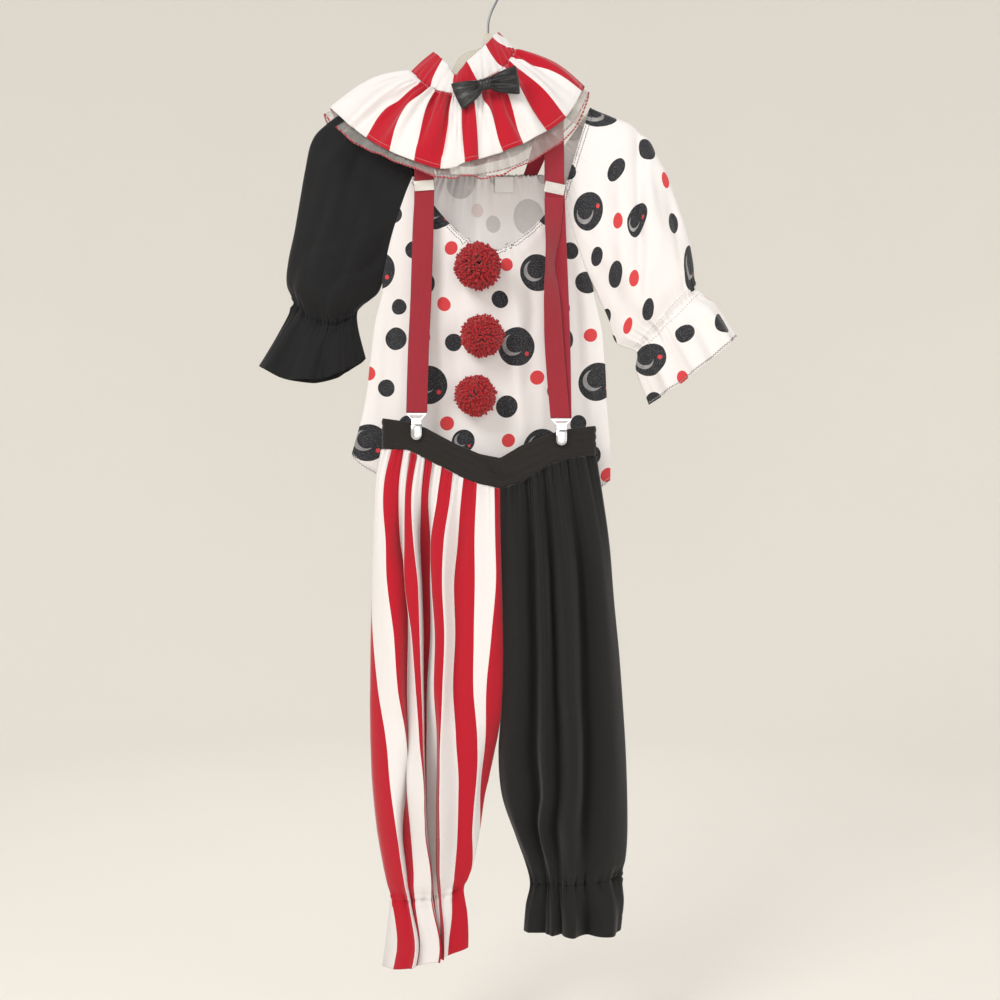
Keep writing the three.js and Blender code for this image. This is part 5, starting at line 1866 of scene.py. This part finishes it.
@dataclass
class Braces:
    """Two straps that cross in a patch behind, their returns, the tail, sliders and clips."""

    clips: tuple[str, ...] = ("left", "right", "rear")
    patch_foot: float = 0.54
    patch_head: float = 0.85
    slider_size: tuple[float, float, float] = (30.0, 2.5, 16.0)
    slider_tilts: dict = field(default_factory=lambda: {"left": -4.0, "right": 12.0})

    def step_front(self, obj: bpy.types.Object, steps: Sequence[tuple[float, float]]) -> None:
        """Steps a fitting's front face in or out, and smooths its shading.

        Args:
            obj: the fitting.
            steps: the width and the height of each step, in metres.
        """
        for each in obj.data.polygons:
            each.select = each.normal.y < -0.9999
        bpy.ops.object.mode_set(mode="EDIT")
        bpy.ops.mesh.select_mode(type="FACE")
        for thickness, depth in steps:
            bpy.ops.mesh.inset(thickness=thickness, depth=depth)
        bpy.ops.object.mode_set(mode="OBJECT")
        obj.data.shade_smooth()

    def slider(self, side: str) -> None:
        """Models a slider: a moulded plate with rounded edges and a shallow dish in its front.

        Args:
            side: "left" or "right".
        """
        low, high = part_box("slider_" + side)
        turn = math.radians(self.slider_tilts[side])
        bpy.ops.object.select_all(action="DESELECT")
        bpy.ops.mesh.primitive_cube_add(size=1, location=(high + low) / 2, rotation=(0, turn, 0),
                                        scale=[c * MM for c in self.slider_size])
        obj = bpy.context.object
        obj.name = f"slider_{side}_plate"
        bpy.ops.object.transform_apply(location=True, rotation=True, scale=True)
        bpy.ops.object.mode_set(mode="EDIT")
        bpy.ops.mesh.select_all(action="SELECT")
        bpy.ops.mesh.bevel(offset=0.0009, segments=3)
        bpy.ops.object.mode_set(mode="OBJECT")
        self.step_front(obj, ((0.0022, 0), (0.0008, -0.0006)))
        dress(obj, SLIDER_PLASTIC)
        enrol(obj, Slot.PLASTIC, ["slider_" + side])

    def lever(self, side: str) -> None:
        """Models a clip's lever: a bright tongue with a round foot and a raised middle.

        Args:
            side: the clip's name.
        """
        low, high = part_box(f"clip_{side}_lever")
        size, middle = high - low, (high + low) / 2
        radius = size.x / 2
        foot = Vector((middle.x, middle.y, low.z + radius))
        bpy.ops.object.select_all(action="DESELECT")
        bpy.ops.mesh.primitive_cylinder_add(vertices=40, radius=radius, depth=size.y, location=foot,
                                            rotation=(math.pi / 2, 0, 0))
        obj = bpy.context.object
        obj.name = f"clip_{side}_tongue"
        bpy.ops.object.transform_apply(location=True, rotation=True, scale=True)
        bpy.ops.object.mode_set(mode="EDIT")
        bpy.ops.mesh.select_all(action="SELECT")
        bpy.ops.mesh.bisect(plane_co=foot, plane_no=(0, 0, 1), use_fill=True, clear_outer=True)
        bpy.ops.mesh.extrude_region_move(TRANSFORM_OT_translate={"value": (0, 0, high.z - foot.z)})
        bpy.ops.mesh.select_all(action="DESELECT")
        bpy.ops.object.mode_set(mode="OBJECT")
        self.step_front(obj, ((0.0007, 0.0006), (0.0011, 0.0006), (0.0016, 0.0004)))
        dress(obj, CHROME)
        enrol(obj, Slot.STEEL, [f"clip_{side}_lever"])

    def patch(self) -> None:
        """Models the patch where the straps are sewn together behind."""
        low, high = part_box("strap_patch")
        size, middle = high - low, (high + low) / 2
        bpy.ops.object.select_all(action="DESELECT")
        bpy.ops.mesh.primitive_cube_add(size=1, location=middle, scale=size)
        obj = bpy.context.object
        obj.name = "strap_patch_cloth"
        bpy.ops.object.transform_apply(location=True, rotation=True, scale=True)
        bpy.ops.object.mode_set(mode="EDIT")
        bpy.ops.mesh.select_all(action="SELECT")
        bpy.ops.mesh.subdivide(number_cuts=9)
        bpy.ops.object.mode_set(mode="OBJECT")
        heights, widths = (0.0, 0.8, 1.0), (self.patch_foot, 1.0, self.patch_head)
        for vertex in obj.data.vertices:
            narrow = float(np.interp((vertex.co.z - low.z) / size.z, heights, widths))
            vertex.co.x = middle.x + (vertex.co.x - middle.x) * narrow
        layer = obj.data.uv_layers[0] if obj.data.uv_layers else obj.data.uv_layers.new(name="cloth")
        layer.name = "cloth"
        for loop in obj.data.loops:
            place = obj.data.vertices[loop.vertex_index].co
            layer.data[loop.index].uv = (place.x, place.z)
        bevel = obj.modifiers.new("edge", "BEVEL")
        bevel.width = 0.0006
        bevel.segments = 2
        bevel.limit_method = "ANGLE"
        bpy.ops.object.modifier_apply(modifier=bevel.name)
        dress(obj, RED_WEBBING)
        enrol(obj, Slot.RED_ELASTIC, ["strap_patch"])
        sewing = Stitching("patch_sewing", RED_THREAD, Slot.RED_ELASTIC, pitch=3.2, length=2.6, width=0.7)
        back = high.y / MM - 0.3
        corners = [(-19, -381), (19, -381), (22, -387), (12, -417), (-12, -417), (-22, -387), (-19, -381)]
        line = np.array([[x, back, z] for x, z in corners], float)
        sewing.run(line, np.tile([0, 1.0, 0], (len(line), 1)))
        sewing.build()

    def build(self) -> None:
        """Makes every strap and finishes the fittings."""
        for node, rows, width in (("strap_left", STRAP_LEFT, STRAP_WIDTH),
                                  ("strap_right", STRAP_RIGHT, STRAP_WIDTH),
                                  ("strap_left_return", STRAP_LEFT_RETURN, STRAP_WIDTH - 1),
                                  ("strap_right_return", STRAP_RIGHT_RETURN, STRAP_WIDTH - 1),
                                  ("strap_tail", STRAP_TAIL, STRAP_WIDTH)):
            Strap(node + "_webbing", node, rows, width).build()
        self.patch()
        for side in ("left", "right"):
            self.slider(side)
        for side in self.clips:
            self.lever(side)
            for part in ("ring", "jaw"):
                dress(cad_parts[f"clip_{side}_{part}"], CHROME)


# ---- studio --------------------------------------------------------------------------------------------
@dataclass
class Studio:
    """Camera, soft lights, and a pale floor that curves up into a pale wall all round."""

    eye: tuple[float, float, float] = (18, -2083, -790.5)
    lens: float = 50.0
    floor: float = -1600.0
    radius: float = 4200.0
    cove: float = 1500.0
    wall_height: float = 4200.0
    wall: Colour = rgb(0xD9D5CE)

    def camera(self) -> None:
        """Sets the camera level with the costume's middle."""
        data = bpy.data.cameras.new("camera")
        data.lens = self.lens
        data.sensor_width = 36
        obj = bpy.data.objects.new("camera", data)
        obj.location = Vector(self.eye) * MM
        obj.rotation_euler = (math.pi / 2, 0, 0)
        bpy.context.scene.collection.objects.link(obj)
        bpy.context.scene.camera = obj

    def light(self, name: str, place: tuple[float, float, float], size: float, power: float,
              colour: Colour) -> None:
        """Adds one soft square light that faces the costume's middle."""
        data = bpy.data.lights.new(name, "AREA")
        data.size = size
        data.energy = power
        data.color = colour
        obj = bpy.data.objects.new(name, data)
        obj.location = place
        target = Vector((0, 0, -0.75))
        obj.rotation_euler = (target - obj.location).to_track_quat("-Z", "Y").to_euler()
        bpy.context.scene.collection.objects.link(obj)

    def backdrop(self) -> None:
        """Turns the floor and its wall as one smooth bowl."""
        steps, around = 24, 96
        flat = self.radius - self.cove
        profile = [(0.0, 0.0), (flat, 0.0)]
        for k in range(1, steps + 1):
            angle = math.pi / 2 * k / steps
            profile.append((flat + self.cove * math.sin(angle), self.cove * (1 - math.cos(angle))))
        profile.append((self.radius, self.wall_height))
        angles = np.arange(around) * 2 * np.pi / around
        points = [[0, 0, self.floor]]
        for r, h in profile[1:]:
            points += [[r * math.cos(a), r * math.sin(a), self.floor + h] for a in angles]
        faces = [[0, 1 + k, 1 + (k + 1) % around] for k in range(around)]
        for ring in range(len(profile) - 2):
            first = 1 + ring * around
            for k in range(around):
                a, b = first + k, first + (k + 1) % around
                faces.append([a, a + around, b + around, b])
        mesh = bpy.data.meshes.new("studio_floor")
        mesh.from_pydata([[c * MM for c in p] for p in points], [], faces)
        mesh.shade_smooth()
        obj = bpy.data.objects.new("studio_floor", mesh)
        bpy.context.scene.collection.objects.link(obj)
        shader = Shader("studio paper")
        grain = shader.noise(shader.place(), 3.0, 3.0)
        colour = shader.mix(grain * 0.3, self.wall, tuple(0.94 * c for c in self.wall))
        mesh.materials.append(shader.finish(base_color=colour, roughness=0.95, specular_ior_level=0.1,
                                            emission_color=colour, emission_strength=0.28))

    def build(self) -> None:
        """Makes the whole studio."""
        self.camera()
        self.backdrop()
        self.light("front", (0.1, -2.9, -0.5), 1.2, 14, (1.0, 0.99, 0.98))
        self.light("key", (-1.5, -2.3, 1.1), 1.3, 49, (1.0, 0.985, 0.965))
        self.light("fill", (2.4, -2.0, -0.3), 2.2, 19, (0.95, 0.97, 1.0))
        self.light("top", (0.0, 1.9, 1.6), 1.6, 27, (1.0, 0.98, 0.96))
        world = bpy.data.worlds.new("studio light")
        world.use_nodes = True
        world.node_tree.nodes["Background"].inputs["Color"].default_value = (0.88, 0.9, 0.93, 1)
        world.node_tree.nodes["Background"].inputs["Strength"].default_value = 0.52
        bpy.context.scene.world = world
        bpy.context.scene.view_settings.view_transform = "Standard"


def main() -> None:
    """Makes the costume around its frame, piece by piece."""
    logging.basicConfig(level=logging.INFO, format="%(name)s %(message)s")
    bpy.ops.object.select_all(action="DESELECT")
    Studio().build()
    Collar().build()
    Blouse().build()
    for i, (x, z, radius) in enumerate(zip(*POMPOMS.values())):
        Pompom(f"pompom_{i + 1}_yarn", f"pompom_{i + 1}", x, z, radius, 200 + i).build()
    Braces().build()
    Waistband().build()
    striped_folds = Folds(STRIPED_HEIGHTS, STRIPED_LINES, STRIPED_DEPTHS)
    black_folds = Folds(BLACK_HEIGHTS, BLACK_LINES, BLACK_DEPTHS)
    Leg("leg_striped_cloth", "leg_striped", STRIPED_LEG, striped_folds, -1, LEG_STRIPES, Slot.STRIPED,
        301).build()
    Leg("leg_black_cloth", "leg_black", BLACK_LEG, black_folds, 1, LEG_KNIT, Slot.BLACK, 401,
        flat_width=620.0).build()
    dress(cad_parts["hanger_body"], CLEAR_PLASTIC)
    dress(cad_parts["hanger_hook"], WIRE)


if __name__ == "__main__":
    main()
